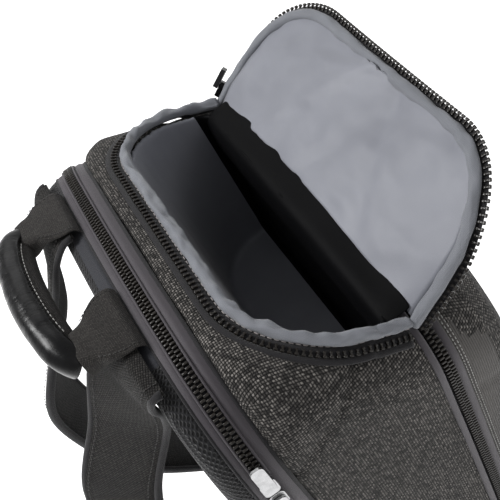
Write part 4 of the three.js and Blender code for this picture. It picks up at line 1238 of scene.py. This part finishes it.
# Sections of a tab from its seam outwards. Columns: share of its reach; share of its width cut from
# the inner and from the outer edge; height above the bag's edge; depth.
TAB_SECTIONS = [
    (0.03, 0.00, 0.02, 0.0009, 0.0020),
    (0.17, 0.00, 0.00, 0.0070, 0.0026),
    (0.45, 0.02, 0.00, 0.0080, 0.0034),
    (0.75, 0.12, 0.05, 0.0055, 0.0070),
    (0.95, 0.21, 0.13, -0.0005, 0.0130),
    (1.15, 0.25, 0.17, -0.0045, 0.0180),
    (1.32, 0.27, 0.19, -0.0060, 0.0190),
]


def dress_tab(which, side, steps=36, sides=40):
    node = f"handle_tab_{which}"
    middle = (GRIP_LOW.x + GRIP_HIGH.x) / 2
    top = surface("laptop_tray")
    edge_y = TRAY_HIGH.y - TAB_EDGE_INSET

    def section(i):
        """Function that gives a point of section i: share runs across the tab, and level through it."""
        at, inner, outer, rise, thick = between(TAB_SECTIONS, i / steps)
        y = TAB_ROOT + TAB_REACH * at
        near = TAB_INNER + inner * TAB_WIDTH
        far = TAB_INNER + TAB_WIDTH * (1 - outer)

        def point(share, level):
            x = middle + side * (near + (far - near) * share)
            hit = top.ray_cast(Vector((x, min(y, edge_y), 1)), -UPWARD)[0]
            return Vector((x, y, (hit.z if hit else BAG_HEIGHT) + rise + level * thick))

        return point

    rings = []
    for i in range(steps + 1):
        point = section(i)
        ring = []
        for k in range(sides):
            a, b = rounded(2 * math.pi * k / sides, 0.45, 0.6)
            spot = point(a + 0.5, b + 0.5)
            spot.z += noise.noise(Vector((spot.x * 70, spot.y * 70, side * 3.0))) * 0.0007
            ring.append(spot)
        rings.append(ring)
    add_piece(f"{node}_cloth", lofted(rings), "tab", node)
    for name, share in (("inner", 0.06), ("outer", 0.94)):
        points = [section(i)(share, 0.97) for i in range(3, 25)]
        route = Track.facing(points, UPWARD)
        stitches(f"{node}_{name}_stitches", route, 0, 0, node, pitch=0.003)


def pad_form(point, normal):
    """Cushioned channels of the back pad."""
    upright = ridge(abs(point.x), 0.036, 0.006)
    level = ridge((point.z - 0.1) % 0.12, 0.06, 0.006) * 0.6
    return Vector((0, -0.0022 * (upright + level) if normal.y > 0.3 else 0, 0))


def dress_back():
    soft_copy("back_pad", "back_mesh_pad", 0.0030, 3, "mesh", pad_form)
    soft_copy("base_cloth", "base_panel", 0.0030, 2, "ballistic",
              lambda p, n: n * noise.noise(p * 16) * 0.0004 if n.z > -0.3 else Vector((0, 0, 0)))
    for which, side in (("left", -1), ("right", 1)):
        dress_strap(which, side)
        dress_webbing(which)
        dress_tab(which, side)
    dress_handle()


def dress_hinge():
    """Lining that runs from the lid over the hinge and down into the bag."""
    rings = []
    reach = HATCH_HALF - 0.010
    steps = 60
    for i in range(steps + 1):
        x = -reach + 2 * reach * i / steps
        side_fall = (abs(x) / reach) ** 8
        root = lid_point(x, 0.004, 0.0016)
        crest = top_height(x, HINGE + 0.004) + 0.0026
        front = HINGE + 0.013
        wave = noise.noise(Vector((x * 30, 0.3, 1.0))) * 0.0012
        rings.append([
            root,
            Vector((x, root.y + 0.003, max(root.z - 0.0006, crest))),
            Vector((x, HINGE + 0.001, crest + 0.0003)),
            Vector((x, front - 0.005, crest + 0.0004 + wave - 0.001 * side_fall)),
            Vector((x, front + 0.0005, crest - 0.0022 + wave)),
            Vector((x, front + 0.0030 + wave, crest - 0.010)),
            Vector((x, front + 0.0034 + wave, crest - 0.024)),
            Vector((x, front + 0.0036 - wave, crest - 0.040)),
        ])
    # The flap takes the near-black shadowed lining: painted shade on the ledge at the hinge, which lies in
    # shadow.
    flap = add_piece("hatch_hinge_lining", lofted(rings, closed_rings=False, capped=False),
                     "shadowed_lining", "lid_lining")
    upward = sum(p.normal.z for p in flap.data.polygons)
    if upward < 0:
        flap.data.flip_normals()
    thicken(flap, LID_CLOTH)
    rounder = flap.modifiers.new("round", "SUBSURF")
    rounder.levels = 2
    rounder.render_levels = 2


HARD_NODES = {
    "hatch_slider": "black_metal", "hatch_pull": "plastic",
    "laptop_slider_upper": "nickel", "laptop_slider_lower": "nickel", "laptop_pull_upper": "nickel",
    "laptop_pull_lower": "nickel", "front_slider": "nickel", "front_pull": "nickel",
    "strap_adjuster_left": "plastic", "strap_adjuster_right": "plastic",
}

dress_body()
dress_lid()
dress_hatch_edge()
dress_lid_edge()
dress_hinge()
dress_laptop_section()
dress_tray()
dress_front()
dress_front_face()
dress_back()
for node_name, finish_key in HARD_NODES.items():
    paint_node(node_name, finish_key)


def add_stage():
    bm = bmesh.new()
    bmesh.ops.create_grid(bm, x_segments=1, y_segments=1, size=6)
    mesh = bpy.data.meshes.new("floor")
    bm.to_mesh(mesh)
    bm.free()
    floor = bpy.data.objects.new("floor", mesh)
    bpy.context.scene.collection.objects.link(floor)
    pale = Finish("floor_paint", roughness=0.9)
    pale.colour(pale.blend(pale.noise(pale.place(), 3), (0.90, 0.90, 0.90, 1), (0.93, 0.93, 0.93, 1)))
    pale.shader.inputs["Emission Color"].default_value = (1, 1, 1, 1)
    pale.shader.inputs["Emission Strength"].default_value = 0.8
    mesh.materials.append(pale.material)


def add_light(name, place, aim, size, power):
    data = bpy.data.lights.new(name, "AREA")
    data.size = size
    data.energy = power
    lamp = bpy.data.objects.new(name, data)
    bpy.context.scene.collection.objects.link(lamp)
    lamp.location = place
    lamp.rotation_euler = (Vector(aim) - Vector(place)).to_track_quat("-Z", "Y").to_euler()


def add_studio():
    world = bpy.data.worlds.new("studio")
    world.use_nodes = True
    world.node_tree.nodes["Background"].inputs[0].default_value = (1, 1, 1, 1)
    world.node_tree.nodes["Background"].inputs[1].default_value = 0.30
    bpy.context.scene.world = world
    add_light("key", (0.35, 0.75, 1.55), (0, -0.1, 0.45), 0.6, 17)
    add_light("fill", (-1.4, -1.2, 1.2), (0, 0, 0.4), 1.6, 4.0)
    add_light("rear", (1.6, -0.4, 1.6), (0, 0, 0.4), 1.4, 5)
    bpy.context.scene.view_settings.view_transform = "Standard"


add_stage()
add_studio()
